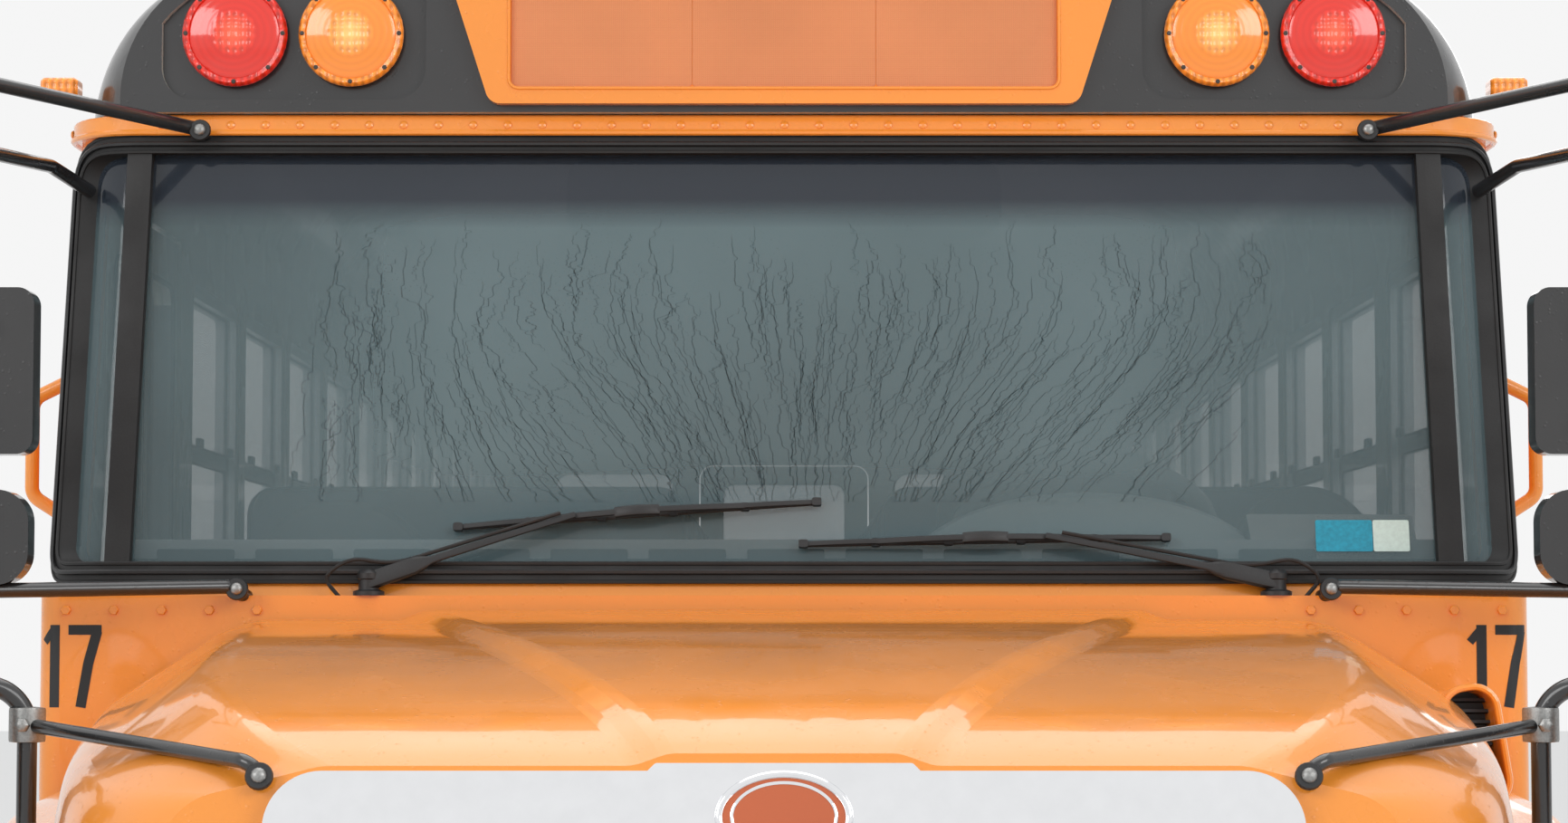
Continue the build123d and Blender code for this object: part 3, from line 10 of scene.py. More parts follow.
import bmesh
import bpy
import numpy as np
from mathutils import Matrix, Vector


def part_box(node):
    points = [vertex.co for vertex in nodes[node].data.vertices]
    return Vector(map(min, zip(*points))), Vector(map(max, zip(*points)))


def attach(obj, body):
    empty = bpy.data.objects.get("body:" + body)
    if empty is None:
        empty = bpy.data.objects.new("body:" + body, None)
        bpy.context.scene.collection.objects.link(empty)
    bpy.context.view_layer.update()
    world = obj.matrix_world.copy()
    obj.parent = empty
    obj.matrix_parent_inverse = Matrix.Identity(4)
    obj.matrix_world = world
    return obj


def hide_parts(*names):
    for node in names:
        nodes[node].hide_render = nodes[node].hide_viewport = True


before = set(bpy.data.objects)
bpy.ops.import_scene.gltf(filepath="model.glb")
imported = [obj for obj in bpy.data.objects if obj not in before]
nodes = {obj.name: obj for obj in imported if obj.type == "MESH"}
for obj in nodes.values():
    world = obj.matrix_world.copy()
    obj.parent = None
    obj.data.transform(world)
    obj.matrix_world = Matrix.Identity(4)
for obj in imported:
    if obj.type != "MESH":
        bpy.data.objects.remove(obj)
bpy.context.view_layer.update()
FRONT_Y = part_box("bumpers")[0].y


def at(station):
    """Y of a station in metres behind the front bumper's face: the face's Y plus the station."""
    return FRONT_Y + station


# %% [markdown]
# ## The camera
# The picture was taken with a long lens from a few metres in front, at eye height and tilted up a little. A
# camera is three facts: where it stands, how long its lens is and how far it tips. Setting these as real
# values keeps the perspective honest, so that pieces at different depths line up by themselves.

# %% Camera
CAMERA_AHEAD = 4.46
CAMERA_HEIGHT = 1.70
CAMERA_TILT = math.radians(3.62)
LENS_MM = 83.7

camera = bpy.data.objects.new("camera", bpy.data.cameras.new("camera"))
bpy.context.scene.collection.objects.link(camera)
camera.data.lens = LENS_MM
camera.data.sensor_width = 36
camera.data.clip_end = 200
camera.location = (0, at(-CAMERA_AHEAD), CAMERA_HEIGHT)
camera.rotation_euler = (math.pi / 2 + CAMERA_TILT, 0, 0)
bpy.context.scene.camera = camera
print("camera at", [round(v, 2) for v in camera.location])

# %% [markdown]
# ## Light and floor
# Outdoors under cloud, light comes from the whole sky, with no hard shadows. We make that as a pale world
# with a few large lamps, kept low enough that a colour renders about as it is written. Camera, mirror and
# glass rays see the same pale white, so glass and chrome have something plain to show.

# %% The world's light
SKY_LIGHT = 0.6
SHOWN_WHITE = 0.92


def node_tree(owner):
    """The node tree of a world or a material, switched on and emptied."""
    owner.use_nodes = True
    owner.node_tree.nodes.clear()
    return owner.node_tree


def seen_rays(tree):
    """1 on camera, mirror and glass rays, 0 on light that only brightens things."""
    path = tree.nodes.new("ShaderNodeLightPath")
    total = path.outputs["Is Camera Ray"]
    for kind in ("Is Transmission Ray", "Is Glossy Ray"):
        either = tree.nodes.new("ShaderNodeMath")
        either.operation = "MAXIMUM"
        tree.links.new(total, either.inputs[0])
        tree.links.new(path.outputs[kind], either.inputs[1])
        total = either.outputs[0]
    return total


world = bpy.data.worlds.new("studio")
bpy.context.scene.world = world
tree = node_tree(world)
shown = tree.nodes.new("ShaderNodeBackground")
shown.inputs["Color"].default_value = (SHOWN_WHITE, SHOWN_WHITE, SHOWN_WHITE, 1)
lit = tree.nodes.new("ShaderNodeBackground")
lit.inputs["Color"].default_value = (0.93, 0.96, 1.0, 1)
lit.inputs["Strength"].default_value = SKY_LIGHT
mix = tree.nodes.new("ShaderNodeMixShader")
tree.links.new(seen_rays(tree), mix.inputs[0])
tree.links.new(lit.outputs[0], mix.inputs[1])
tree.links.new(shown.outputs[0], mix.inputs[2])
tree.links.new(mix.outputs[0], tree.nodes.new("ShaderNodeOutputWorld").inputs[0])
print("sky light:", SKY_LIGHT)

# %% [markdown]
# The lamps are large and soft, so that forms are modelled without hard shadows: one overhead, one at each
# side of the front and one behind. The floor is a wide plane that only the picture needs, so it rides with no
# body of the bus.

# %% Lamps and the floor
def lamp(name, place, aim, size, power):
    """A large soft lamp at place, turned to face aim."""
    data = bpy.data.lights.new(name, "AREA")
    data.shape = "RECTANGLE"
    data.size, data.size_y = size
    data.energy = power
    lamp_object = bpy.data.objects.new(name, data)
    bpy.context.scene.collection.objects.link(lamp_object)
    lamp_object.location = place
    lamp_object.rotation_euler = (Vector(aim) - Vector(place)).to_track_quat("-Z", "Y").to_euler()


lamp("overhead", (0, 0, 14), (0, 0, 0), (12, 20), 1100)
lamp("front_left", (-9, -14, 7), (0, -4, 1.5), (7, 5), 480)
lamp("front_right", (9, -14, 7), (0, -4, 1.5), (7, 5), 480)
lamp("rear", (4, 17, 9), (0, 4, 1.5), (9, 7), 380)

scene = bpy.context.scene
scene.view_settings.view_transform = "Standard"
floor_mesh = bpy.data.meshes.new("floor_plane")
floor_mesh.from_pydata([(-60, -60, 0), (60, -60, 0), (60, 60, 0), (-60, 60, 0)], [], [(0, 1, 2, 3)])
floor = bpy.data.objects.new("floor_plane", floor_mesh)
scene.collection.objects.link(floor)
print("lamps:", len(bpy.data.lights))

# %% [markdown]
# ## Materials
# Each finish is one function that builds a small node tree. They read Object coordinates, which on this bus
# are metres in the real place, so a grain that is drawn two millimetres wide is two millimetres wide on
# every piece.


# %% Screen colours
def srgb(red, green, blue):
    """A screen colour, 0 to 255, as the linear colour that shaders want: the usual sRGB curve, undone."""
    values = [c / 255 for c in (red, green, blue)]
    return tuple(v / 12.92 if v <= 0.04045 else ((v + 0.055) / 1.055) ** 2.4 for v in values) + (1,)


print("mid grey in linear light:", round(srgb(128, 128, 128)[0], 3))

# %% [markdown]
# One class keeps a material's node tree with its shader and has a short name for each kind of node that the
# finishes use. So a finish reads as a list of what it does: shades, roughness, relief.

# %% A material under construction
class Finish:
    """A material under construction: its node tree, its shader and short ways to add nodes."""

    def __init__(self, name, colour, roughness=0.5, metallic=0.0):
        self.material = bpy.data.materials.new(name)
        self.tree = node_tree(self.material)
        self.shader = self.tree.nodes.new("ShaderNodeBsdfPrincipled")
        output = self.tree.nodes.new("ShaderNodeOutputMaterial")
        self.tree.links.new(self.shader.outputs[0], output.inputs[0])
        self.colour = colour
        self.set(Base_Color=colour, Roughness=roughness, Metallic=metallic)
        self.source = self.tree.nodes.new("ShaderNodeTexCoord")
        self.coordinates = self.source.outputs["Object"]

    def set(self, **values):
        """Shader inputs set by name, with _ for a space."""
        for name, value in values.items():
            self.shader.inputs[name.replace("_", " ")].default_value = value
        return self

    def add(self, kind, *links, **settings):
        """A new node of this kind, with its first inputs linked or set in order."""
        node = self.tree.nodes.new("ShaderNode" + kind)
        for name, value in settings.items():
            setattr(node, name, value)
        for socket, value in zip(node.inputs, links):
            if isinstance(value, bpy.types.NodeSocket):
                self.tree.links.new(value, socket)
            elif value is not None:
                socket.default_value = value
        return node

    def math(self, operation, first, second=0.0):
        """The result of one operation on two values."""
        return self.add("Math", first, second, operation=operation).outputs[0]

    def part(self, letter):
        """One of the X, Y and Z of the place on the bus, in metres."""
        return self.add("SeparateXYZ", self.coordinates).outputs[letter]

    def noise(self, scale, detail=4, stretch=(1, 1, 1)):
        """Soft cloudy noise around 0.5, with about this many patches to the metre."""
        mapping = self.add("Mapping", self.coordinates)
        mapping.inputs["Scale"].default_value = stretch
        noise = self.add("TexNoise", mapping.outputs[0])
        noise.inputs["Scale"].default_value = scale
        noise.inputs["Detail"].default_value = detail
        return noise.outputs["Fac"]

    def cells(self, scale):
        """Distance to the nearest of many scattered points, such as drops of water."""
        mapping = self.add("Mapping", self.coordinates)
        cells = self.add("TexVoronoi", mapping.outputs[0])
        cells.inputs["Scale"].default_value = scale
        return cells.outputs["Distance"]

    def ramp(self, value, *stops):
        """A colour for each value: stops are (value, colour) pairs, lowest first."""
        ramp = self.add("ValToRGB", value)
        elements = ramp.color_ramp.elements
        while len(elements) < len(stops):
            elements.new(0.5)
        for element, (position, colour) in zip(elements, stops):
            element.position = position
            element.color = colour
        return ramp.outputs["Color"]

    def span(self, value, low, high, new_low, new_high):
        """The value's range low..high carried over to new_low..new_high, held at its ends."""
        return self.add("MapRange", value, low, high, new_low, new_high).outputs[0]

    def shades(self, value, low, high, dark, light):
        """The base colour runs from dark to light times itself as value goes from low to high."""
        ends = [tuple(c * k for c in self.colour[:3]) + (1,) for k in (dark, light)]
        self.paint(self.ramp(value, (low, ends[0]), (high, ends[1])))
        return self

    def paint(self, colour):
        """The base colour comes from this socket."""
        self.tree.links.new(colour, self.shader.inputs["Base Color"])

    def rough(self, value, low, high):
        """The roughness runs from low to high over the middle of the value's range."""
        self.tree.links.new(self.span(value, 0.3, 0.7, low, high), self.shader.inputs["Roughness"])
        return self

    def blend(self, factor, first, second):
        """The first colour where factor is 0, the second where it is 1."""
        node = self.add("Mix", data_type="RGBA")
        for index, value in ((0, factor), (6, first), (7, second)):
            if isinstance(value, bpy.types.NodeSocket):
                self.tree.links.new(value, node.inputs[index])
            else:
                node.inputs[index].default_value = value
        return node.outputs[2]

    def bump(self, value, height):
        """Relief: the surface seems height metres higher where the value is 1. Each call adds to the last."""
        bump = self.tree.nodes.new("ShaderNodeBump")
        bump.inputs["Distance"].default_value = height
        bump.inputs["Strength"].default_value = 1.0
        self.tree.links.new(value, bump.inputs["Height"])
        socket = self.shader.inputs["Normal"]
        if socket.links:
            self.tree.links.new(socket.links[0].from_socket, bump.inputs["Normal"])
        self.tree.links.new(bump.outputs[0], socket)
        return self


# %% Finishes on pieces
def give(material, *pieces):
    """The named CAD nodes, or new pieces, take this material all over."""
    for piece in pieces:
        data = (nodes[piece] if isinstance(piece, str) else piece).data
        data.materials.clear()
        data.materials.append(material)


# %% [markdown]
# ### Enamel, inside and out
# Bus sheets are painted yellow outside and pale cream inside. The CAD solids are single bodies with both
# faces, so one material tells the faces apart: the place on the bus, measured from the nearest point of a
# line along the middle of the cabin, points the same way as the surface on an outer face, and the other way
# on an inner face. The dot product of the two is the test. The gloss is a clear coat over slight orange
# peel, with rain standing on it.

# %% Enamels
YELLOW = srgb(250, 152, 52)
CREAM = srgb(206, 205, 192)
CABIN_MIDDLE_Z = 2.0
CABIN_FRONT_Y, CABIN_REAR_Y = at(2.6), at(10.0)


def enamel(name, colour, roughness=0.25, lining=None, beads=True, coat=0.7):
    """Sprayed enamel: orange peel under a clear gloss, a little duller in patches, with drops of rain."""
    finish = Finish(name, colour, roughness)
    finish.shades(finish.noise(1.3), 0.3, 0.7, 0.95, 1.04)
    if lining:
        place = finish.add("SeparateXYZ", finish.coordinates)
        level = finish.math("SUBTRACT", place.outputs[2], CABIN_MIDDLE_Z)
        held = finish.math("MINIMUM", finish.math("MAXIMUM", place.outputs[1], CABIN_FRONT_Y), CABIN_REAR_Y)
        beyond = finish.math("SUBTRACT", place.outputs[1], held)
        spoke = finish.add("CombineXYZ", place.outputs[0], beyond, level).outputs[0]
        facing = finish.add("VectorMath", spoke, finish.source.outputs["Normal"], operation="DOT_PRODUCT")
        outside = finish.math("GREATER_THAN", facing.outputs["Value"], 0.0)
        outer = finish.shader.inputs["Base Color"].links[0].from_socket
        finish.paint(finish.blend(outside, lining, outer))
    finish.rough(finish.noise(5), roughness * 0.7, roughness * 1.4)
    finish.bump(finish.noise(220, 2), 0.0001)
    if beads:
        drops = finish.span(finish.cells(95), 0.0, 0.28, 1.0, 0.0)
        patches = finish.span(finish.noise(40, 2), 0.45, 0.6, 0.0, 1.0)
        finish.bump(finish.math("MULTIPLY", drops, patches), 0.0006)
    return finish.set(Coat_Weight=coat, Coat_Roughness=0.05).material


yellow = enamel("school_yellow", YELLOW, lining=CREAM)
yellow_part = enamel("yellow_fittings", YELLOW)
black_enamel = enamel("black_enamel", srgb(30, 30, 31), 0.3)
black_lined = enamel("black_enamel_lined", srgb(30, 30, 31), 0.3, lining=CREAM)
cap_black = enamel("cap_black", srgb(34, 34, 35), 0.36, lining=CREAM)
sign_red = enamel("sign_red", srgb(184, 22, 20), 0.5, coat=0.12)
print("materials so far:", len(bpy.data.materials))

# %% [markdown]
# ### Rubber, iron and bright metal
# These finishes share one recipe and differ in grain. Rubber is dull with a fine even grain, cast iron is
# coarse, and bare metals are set as metallic, so that their colour tints what they mirror.


# %% Grained finishes
def grained(name, colour, roughness, metallic=0.0, grain=300, height=0.0002, stretch=(1, 1, 1), contrast=1.0):
    """A surface with a fine even grain: the same noise darkens the hollows and raises the rest."""
    finish = Finish(name, colour, roughness, metallic)
    grains = finish.noise(grain, 3, stretch)
    finish.shades(grains, 0.3, 0.7, 1 - 0.18 * contrast, 1 + 0.14 * contrast)
    finish.rough(finish.noise(9), roughness * 0.85, min(1, roughness * 1.2))
    return finish.bump(grains, height).material


black_satin = grained("black_satin", srgb(34, 34, 35), 0.42)
chassis_black = grained("chassis_black", srgb(40, 39, 38), 0.62, grain=60, height=0.0005)
rubber = grained("black_rubber", srgb(27, 26, 26), 0.62)
tyre_rubber = grained("tyre_rubber", srgb(40, 40, 41), 0.88, grain=140, height=0.0005)
iron = grained("rough_iron", srgb(84, 80, 76), 0.72, 0.5, 90, 0.0008)
steel = grained("plain_steel", srgb(150, 150, 148), 0.4, 0.9)
brushed = grained("brushed_aluminium", srgb(190, 192, 194), 0.36, 0.85, 260, 0.00006, (1, 0.04, 1))
chrome = grained("chrome", srgb(238, 239, 241), 0.06, 1.0, 30, 0.00001, contrast=0.12)
mirror_face = grained("mirror_face", srgb(225, 228, 230), 0.02, 1.0, 8, 0.000003, contrast=0.05)
dash_grain = grained("dash_grain", srgb(62, 63, 66), 0.62, grain=900, height=0.0003)
print("materials so far:", len(bpy.data.materials))

# %% [markdown]
# ### Lenses and glass
# A lamp lens is coloured plastic with ribs moulded inside. The ribs are drawn by a wave in Object
# coordinates, which is metres, so their pitch is set in radians per metre. The shine of the bulb reflector is
# a painted highlight: each lens carries the distance of its points from the lamp's axis, and the colour turns
# paler and glows more as that falls. The red and amber lenses also glow a little all over, so reflectors that
# wear them glow too, though they are no lamps: painted light.


# %% Lenses
def lens(name, colour, glow=0.0, painted_shine_colour=None):
    """Ribbed plastic: waves along X and Z near the lamp's axis, and a wave of the distance from it."""
    finish = Finish(name, colour, 0.12)
    from_axis = finish.add("Attribute", attribute_name="from_axis").outputs["Fac"]
    ribs = finish.math("SINE", finish.math("MULTIPLY", finish.part(0), 520.0))
    rows = finish.math("SINE", finish.math("MULTIPLY", finish.part(2), 420.0))
    rings = finish.math("SINE", finish.math("MULTIPLY", from_axis, 560.0))
    squares = finish.math("ADD", ribs, finish.math("MULTIPLY", rows, 0.6))
    near_axis = finish.span(from_axis, 0.030, 0.042, 1.0, 0.0)
    relief = finish.math("ADD", finish.math("MULTIPLY", squares, near_axis),
                         finish.math("MULTIPLY", rings, 0.16))
    finish.shades(finish.span(relief, -1.5, 1.5, 0.0, 1.0), 0.1, 0.9, 0.62, 1.25)
    finish.bump(relief, 0.0007)
    # Painted highlight: towards the lamp's axis the colour turns paler and the glow stronger, standing in for
    # the bulb reflector's shine; elsewhere the lens glows at the glow strength, reflectors included, which is
    # painted light.
    if painted_shine_colour:
        bulb = finish.math("MULTIPLY", finish.span(from_axis, 0.006, 0.040, 1.0, 0.0),
                           finish.math("GREATER_THAN", from_axis, 0.0))
        ribbed_colour = finish.shader.inputs["Base Color"].links[0].from_socket
        finish.paint(finish.blend(finish.math("MULTIPLY", bulb, 0.6), ribbed_colour, painted_shine_colour))
        finish.set(Emission_Color=colour)
        finish.tree.links.new(finish.span(bulb, 0.0, 1.0, glow, glow * 3.2),
                              finish.shader.inputs["Emission Strength"])
    return finish.set(Coat_Weight=0.8, Coat_Roughness=0.04).material


red_lens = lens("red_lens", srgb(226, 42, 24), 0.14, srgb(255, 128, 84))
amber_lens = lens("amber_lens", srgb(252, 146, 44), 0.12, srgb(255, 226, 150))
clear_lens = lens("clear_lens", srgb(222, 227, 230))
print("materials so far:", len(bpy.data.materials))

# %% [markdown]
# Window glass is thin and grey-green, so it is a glossy face that is partly see-through, without any
# bending of light. The windshield has small drops, a mist over its middle and a darker tint along its top.

# %% Glass
GLASS_TOP_Z = 2.532
TINT_BAND = 0.13


def pane(name, colour, alpha, wet=False):
    """Thin glass: partly see-through, glossy, and where it is wet, with drops, mist and a tinted top."""
    finish = Finish(name, colour, 0.03)
    finish.set(IOR=1.5, Alpha=alpha)
    if wet:
        drops = finish.span(finish.cells(170), 0.0, 0.22, 1.0, 0.0)
        scattered = finish.math("MULTIPLY", drops, finish.span(finish.noise(11, 3), 0.47, 0.58, 0.0, 1.0))
        film = finish.span(finish.noise(1.6, 3), 0.3, 0.7, 0.0, 1.0)
        base = finish.blend(film, tuple(c * 0.88 for c in colour[:3]) + (1,),
                            tuple(c * 1.1 for c in colour[:3]) + (1,))
        dark = finish.blend(finish.math("MULTIPLY", scattered, 0.4), base,
                            tuple(c * 0.4 for c in colour[:3]) + (1,))
        band = finish.span(finish.part(2), GLASS_TOP_Z - TINT_BAND, GLASS_TOP_Z - TINT_BAND + 0.05, 0.0, 1.0)
        finish.paint(finish.blend(band, dark, srgb(50, 57, 66)))
        off_centre = finish.math("ABSOLUTE", finish.part(0))
        mist = finish.math("MULTIPLY", finish.span(off_centre, 0.55, 0.86, 0.26, 0.0),
                           finish.span(finish.part(2), 1.92, 2.02, 0.0, 1.0))
        cover = finish.math("MAXIMUM", mist, finish.math("MULTIPLY", band, 0.34))
        finish.tree.links.new(finish.math("ADD", cover, alpha), finish.shader.inputs["Alpha"])
        finish.bump(scattered, 0.0001)
    else:
        finish.rough(finish.noise(3), 0.02, 0.07)
        finish.bump(finish.noise(1.5, 1), 0.0008)
    return finish.material


screen_glass = pane("screen_glass", srgb(100, 120, 124), 0.52, wet=True)
window_glass = pane("window_glass", srgb(84, 98, 102), 0.34)
door_glass = pane("door_glass", srgb(84, 98, 102), 0.36)
print("materials so far:", len(bpy.data.materials))

# %% [markdown]
# ### Vinyl and floor rubber
# Bench covers are reinforced vinyl with a leather-like emboss, and the aisle is ribbed rubber. The studio
# floor keeps the bus's shadow, but the camera sees it mixed with plain white, so that it stays pale far
# from the lamps.

# %% Cabin finishes
vinyl_finish = Finish("seat_vinyl", srgb(34, 44, 66), 0.48)
emboss = vinyl_finish.cells(420)
vinyl_finish.shades(vinyl_finish.noise(6), 0.3, 0.7, 0.9, 1.12)
vinyl_finish.rough(vinyl_finish.noise(14), 0.4, 0.6)
vinyl_finish.bump(emboss, 0.0004).bump(vinyl_finish.noise(3, 3), 0.004)
vinyl = vinyl_finish.material

ribbed = Finish("floor_rubber", srgb(44, 44, 46), 0.75)
ribs = ribbed.math("SINE", ribbed.math("MULTIPLY", ribbed.part(0), 420.0))
ribbed.shades(ribbed.noise(5), 0.3, 0.7, 0.85, 1.2)
ribbed.bump(ribs, 0.0012)
floor_rubber = ribbed.material

ground = Finish("studio_floor", srgb(226, 226, 224), 0.7)
ground.shades(ground.noise(0.5), 0.3, 0.7, 0.985, 1.0)
plain_white = ground.tree.nodes.new("ShaderNodeEmission")
plain_white.inputs["Color"].default_value = (0.9, 0.9, 0.9, 1)
paler = ground.tree.nodes.new("ShaderNodeMixShader")
shown_share = ground.math("MULTIPLY", seen_rays(ground.tree), 0.6)
ground.tree.links.new(shown_share, paler.inputs[0])
ground.tree.links.new(ground.shader.outputs[0], paler.inputs[1])
ground.tree.links.new(plain_white.outputs[0], paler.inputs[2])
ground_output = [node for node in ground.tree.nodes if node.bl_idname == "ShaderNodeOutputMaterial"][0]
ground.tree.links.new(paler.outputs[0], ground_output.inputs[0])
give(ground.material, floor)
print("materials so far:", len(bpy.data.materials))

# %% [markdown]
# ### One finish for each node
# Each node of the frame is one material on the real bus, so it takes one finish over all its faces: enamel
# on the body, dull black on the running gear, rough iron on castings, rubber, glass and vinyl. A table with
# one line to a finish is short and easy to check against the real thing.

# %% Dress the CAD nodes
give(yellow, "cowl", "rear_body", "side_wall_left", "side_wall_right", "roof", "emergency_door")
give(yellow_part, "hood", "drip_rail", "sign_housing", "grab_handles")
give(cap_black, "front_cap")
give(black_lined, "service_door_front", "service_door_rear")
give(black_enamel, "rub_rails", "bumpers", "crossview_mirrors", "side_mirrors")
give(black_satin, "wipers", "stop_arm_hinge", "seat_frames", "seat_legs", "radiator")
give(chassis_black, "chassis_frame", "front_axle", "springs", "track_rod", "rear_axle", "front_wheel_left",
     "front_wheel_right", "rear_wheels_left", "rear_wheels_right")
give(rubber, "windshield_seal", "mud_flaps", "entrance_steps")
give(tyre_rubber, "front_tyre_left", "front_tyre_right", "rear_tyres_left", "rear_tyres_right")
give(iron, "engine_block", "driveline", "knuckle_left", "knuckle_right")
give(steel, "fuel_tank", "exhaust")
give(brushed, "window_frames", "roof_hatches")
give(chrome, "grille")
give(screen_glass, "windshield")
give(window_glass, "body_glass", "emergency_door_glass")
give(door_glass, "service_door_front_glass", "service_door_rear_glass")
give(red_lens, "red_lamps")
give(amber_lens, "amber_lamps")
give(clear_lens, "headlamps")
give(vinyl, "seat_pads")
give(dash_grain, "dashboard")
give(floor_rubber, "floor")
give(sign_red, "stop_arm")
print("finishes:", len(bpy.data.materials), "on", len(nodes), "nodes")

# %% [markdown]
# ## Tools for surfaces
# Most of what follows is one of four shapes: a grid of points, a profile turned about an axis, a section
# carried along a path, or one small shape repeated at many places. Each is worked out as a whole array of
# points, because arrays are far quicker than steps in Blender's editor. One function turns arrays into an
# object that rides with a body of the bus.

# %% From arrays to pieces
SHARP_ANGLE = math.radians(38)
SIDEWAYS, REARWARD, FORWARD, UPWARD = (1, 0, 0), (0, 1, 0), (0, -1, 0), (0, 0, 1)
UPRIGHT = (UPWARD, REARWARD)
made = {}


def merged(*shapes):
    """Several (points, faces) pairs as one: corner numbers move up by the points before them."""
    points, faces, start = [], [], 0
    for p, f in shapes:
        points.append(p)
        faces.append(f + start)
        start += len(p)
    return np.vstack(points), np.vstack(faces)


def piece(name, shapes, material, body="chassis", weld=1e-5):
    """An object from one (points, faces) pair or a list: near points weld, closed shells face out."""
    points, faces = merged(*shapes) if isinstance(shapes, list) else shapes
    mesh = bpy.data.meshes.new(name)
    mesh.from_pydata(np.asarray(points, float).tolist(), [], faces.tolist())
    shell = bmesh.new()
    shell.from_mesh(mesh)
    bmesh.ops.remove_doubles(shell, verts=shell.verts, dist=weld)
    bmesh.ops.dissolve_degenerate(shell, edges=shell.edges, dist=1e-6)
    bmesh.ops.recalc_face_normals(shell, faces=shell.faces)
    shell.to_mesh(mesh)
    shell.free()
    mesh.shade_smooth()
    mesh.set_sharp_from_angle(angle=SHARP_ANGLE)
    thing = bpy.data.objects.new(name, mesh)
    bpy.context.scene.collection.objects.link(thing)
    mesh.materials.append(material)
    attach(thing, body)
    made[name] = len(mesh.polygons)
    return thing


# %% Grids and turned profiles
def grid_faces(rows, columns, wrap_rows=False, wrap_columns=False):
    """Four-sided faces of a rows x columns grid, the last joined to the first where it is wrapped."""
    r, c = np.meshgrid(np.arange(rows - (not wrap_rows)), np.arange(columns - (not wrap_columns)),
                       indexing="ij")
    r2, c2 = (r + 1) % rows, (c + 1) % columns
    return np.stack([r * columns + c, r * columns + c2, r2 * columns + c2, r2 * columns + c],
                    -1).reshape(-1, 4)


def round_circle(steps):
    """Equal angles all the way round, from zero."""
    return np.linspace(0, 2 * math.pi, steps, endpoint=False)


def turned(profile, steps=32):
    """A profile of (radius, height) rows turned about Z: x = r cos t, y = r sin t, z = h."""
    r, h = np.asarray(profile, float).T
    t = round_circle(steps)
    points = np.stack([np.outer(r, np.cos(t)), np.outer(r, np.sin(t)), np.outer(h, np.ones(steps))], -1)
    return points.reshape(-1, 3), grid_faces(len(r), steps, wrap_columns=True)


print("faces of a 3 by 4 grid:", len(grid_faces(3, 4)))


# %% Shapes carried to their places
def facing(normal, up=UPWARD):
    """Rows of axes that turn a shape's Z towards each normal, with its Y as near to up as it can be."""
    z = np.atleast_2d(np.asarray(normal, float))
    z = z / np.linalg.norm(z, axis=1, keepdims=True)
    x = np.cross(np.broadcast_to(np.asarray(up, float), z.shape), z)
    x = x / np.linalg.norm(x, axis=1, keepdims=True)
    return np.stack([x, np.cross(z, x), z], -1)


def placed(points, place, normal, up=UPWARD):
    """A shape drawn round the origin, carried to one place: its Z follows the normal."""
    return np.asarray(points) @ facing(normal, up)[0].T + np.asarray(place, float)


def set_at(shape, place, normal, up=UPWARD):
    """A (points, faces) pair carried to one place."""
    return placed(shape[0], place, normal, up), shape[1]


def copies(shape, places, normals, up=UPWARD):
    """One shape at many places at once: each point is place + axes x point."""
    points, faces = shape
    places = np.atleast_2d(np.asarray(places, float))
    normals = np.broadcast_to(np.asarray(normals, float), places.shape)
    axes = facing(normals, up)
    spread = places[:, None, :] + np.einsum("kij,nj->kni", axes, points)
    shift = np.arange(len(places))[:, None, None] * len(points)
    return spread.reshape(-1, 3), (faces[None] + shift).reshape(-1, faces.shape[1])


print("a shape's axes on the driver's side:", facing(SIDEWAYS)[0].tolist())

# %% [markdown]
# A hose, a seal or a rolled lip is a section carried along a path. At each point the section stands square
# to the path: side = along x up and rise = side x along, so the up that is given must never run along the
# path.

# %% Sections carried along paths
def carried(section, path, closed=False, up=(0.31, 0.22, 0.93), sizes=None):
    """A flat section of (side, rise) rows carried along a path and scaled by each row of sizes."""
    path, section = np.asarray(path, float), np.asarray(section, float)
    sizes = np.broadcast_to((1.0, 1.0) if sizes is None else np.asarray(sizes, float), (len(path), 2))
    along = np.roll(path, -1, 0) - np.roll(path, 1, 0) if closed else np.gradient(path, axis=0)
    along /= np.linalg.norm(along, axis=1, keepdims=True)
    side = np.cross(along, np.broadcast_to(up, along.shape))
    side /= np.linalg.norm(side, axis=1, keepdims=True)
    rise = np.cross(side, along)
    if not closed:
        path, side, rise, sizes = (np.vstack([a[:1], a, a[-1:]]) for a in (path, side, rise, sizes))
    rings = (path[:, None] + side[:, None] * section[:, :1] * sizes[:, None, :1]
             + rise[:, None] * section[:, 1:] * sizes[:, None, 1:])
    if not closed:
        rings[0], rings[-1] = path[0], path[-1]
    return rings.reshape(-1, 3), grid_faces(len(path), len(section), closed, True)


def spin(angle):
    """The matrix that turns rows of points about Z, clockwise as seen with Z towards the eye."""
    return np.array([[math.cos(angle), -math.sin(angle), 0], [math.sin(angle), math.cos(angle), 0],
                     [0, 0, 1]])


def ring(radius, steps=12, flat=1.0):
    """A circle of points, flattened in its rise by the factor flat."""
    t = round_circle(steps)
    return np.column_stack([radius * np.cos(t), radius * flat * np.sin(t)])


def bead(path, radius, up=(0.31, 0.22, 0.93), sides=8, flat=1.0):
    """A round section carried all the way round a loop of points."""
    return carried(ring(radius, sides, flat), path, closed=True, up=up)


def bend(points, radius, steps=6):
    """A path whose corners are eased: each is a curve from radius before it to radius after it."""
    p = np.asarray(points, float)
    before, here, after = p[:-2], p[1:-1], p[2:]
    back, ahead = before - here, after - here
    a, b = np.linalg.norm(back, axis=1, keepdims=True), np.linalg.norm(ahead, axis=1, keepdims=True)
    reach = np.minimum(radius, 0.45 * np.minimum(a, b))
    first, last = here + back / a * reach, here + ahead / b * reach
    t = np.linspace(0, 1, steps)[None, :, None]
    eased = (1 - t) ** 2 * first[:, None] + 2 * t * (1 - t) * here[:, None] + t**2 * last[:, None]
    return np.vstack([p[:1], eased.reshape(-1, 3), p[-1:]])


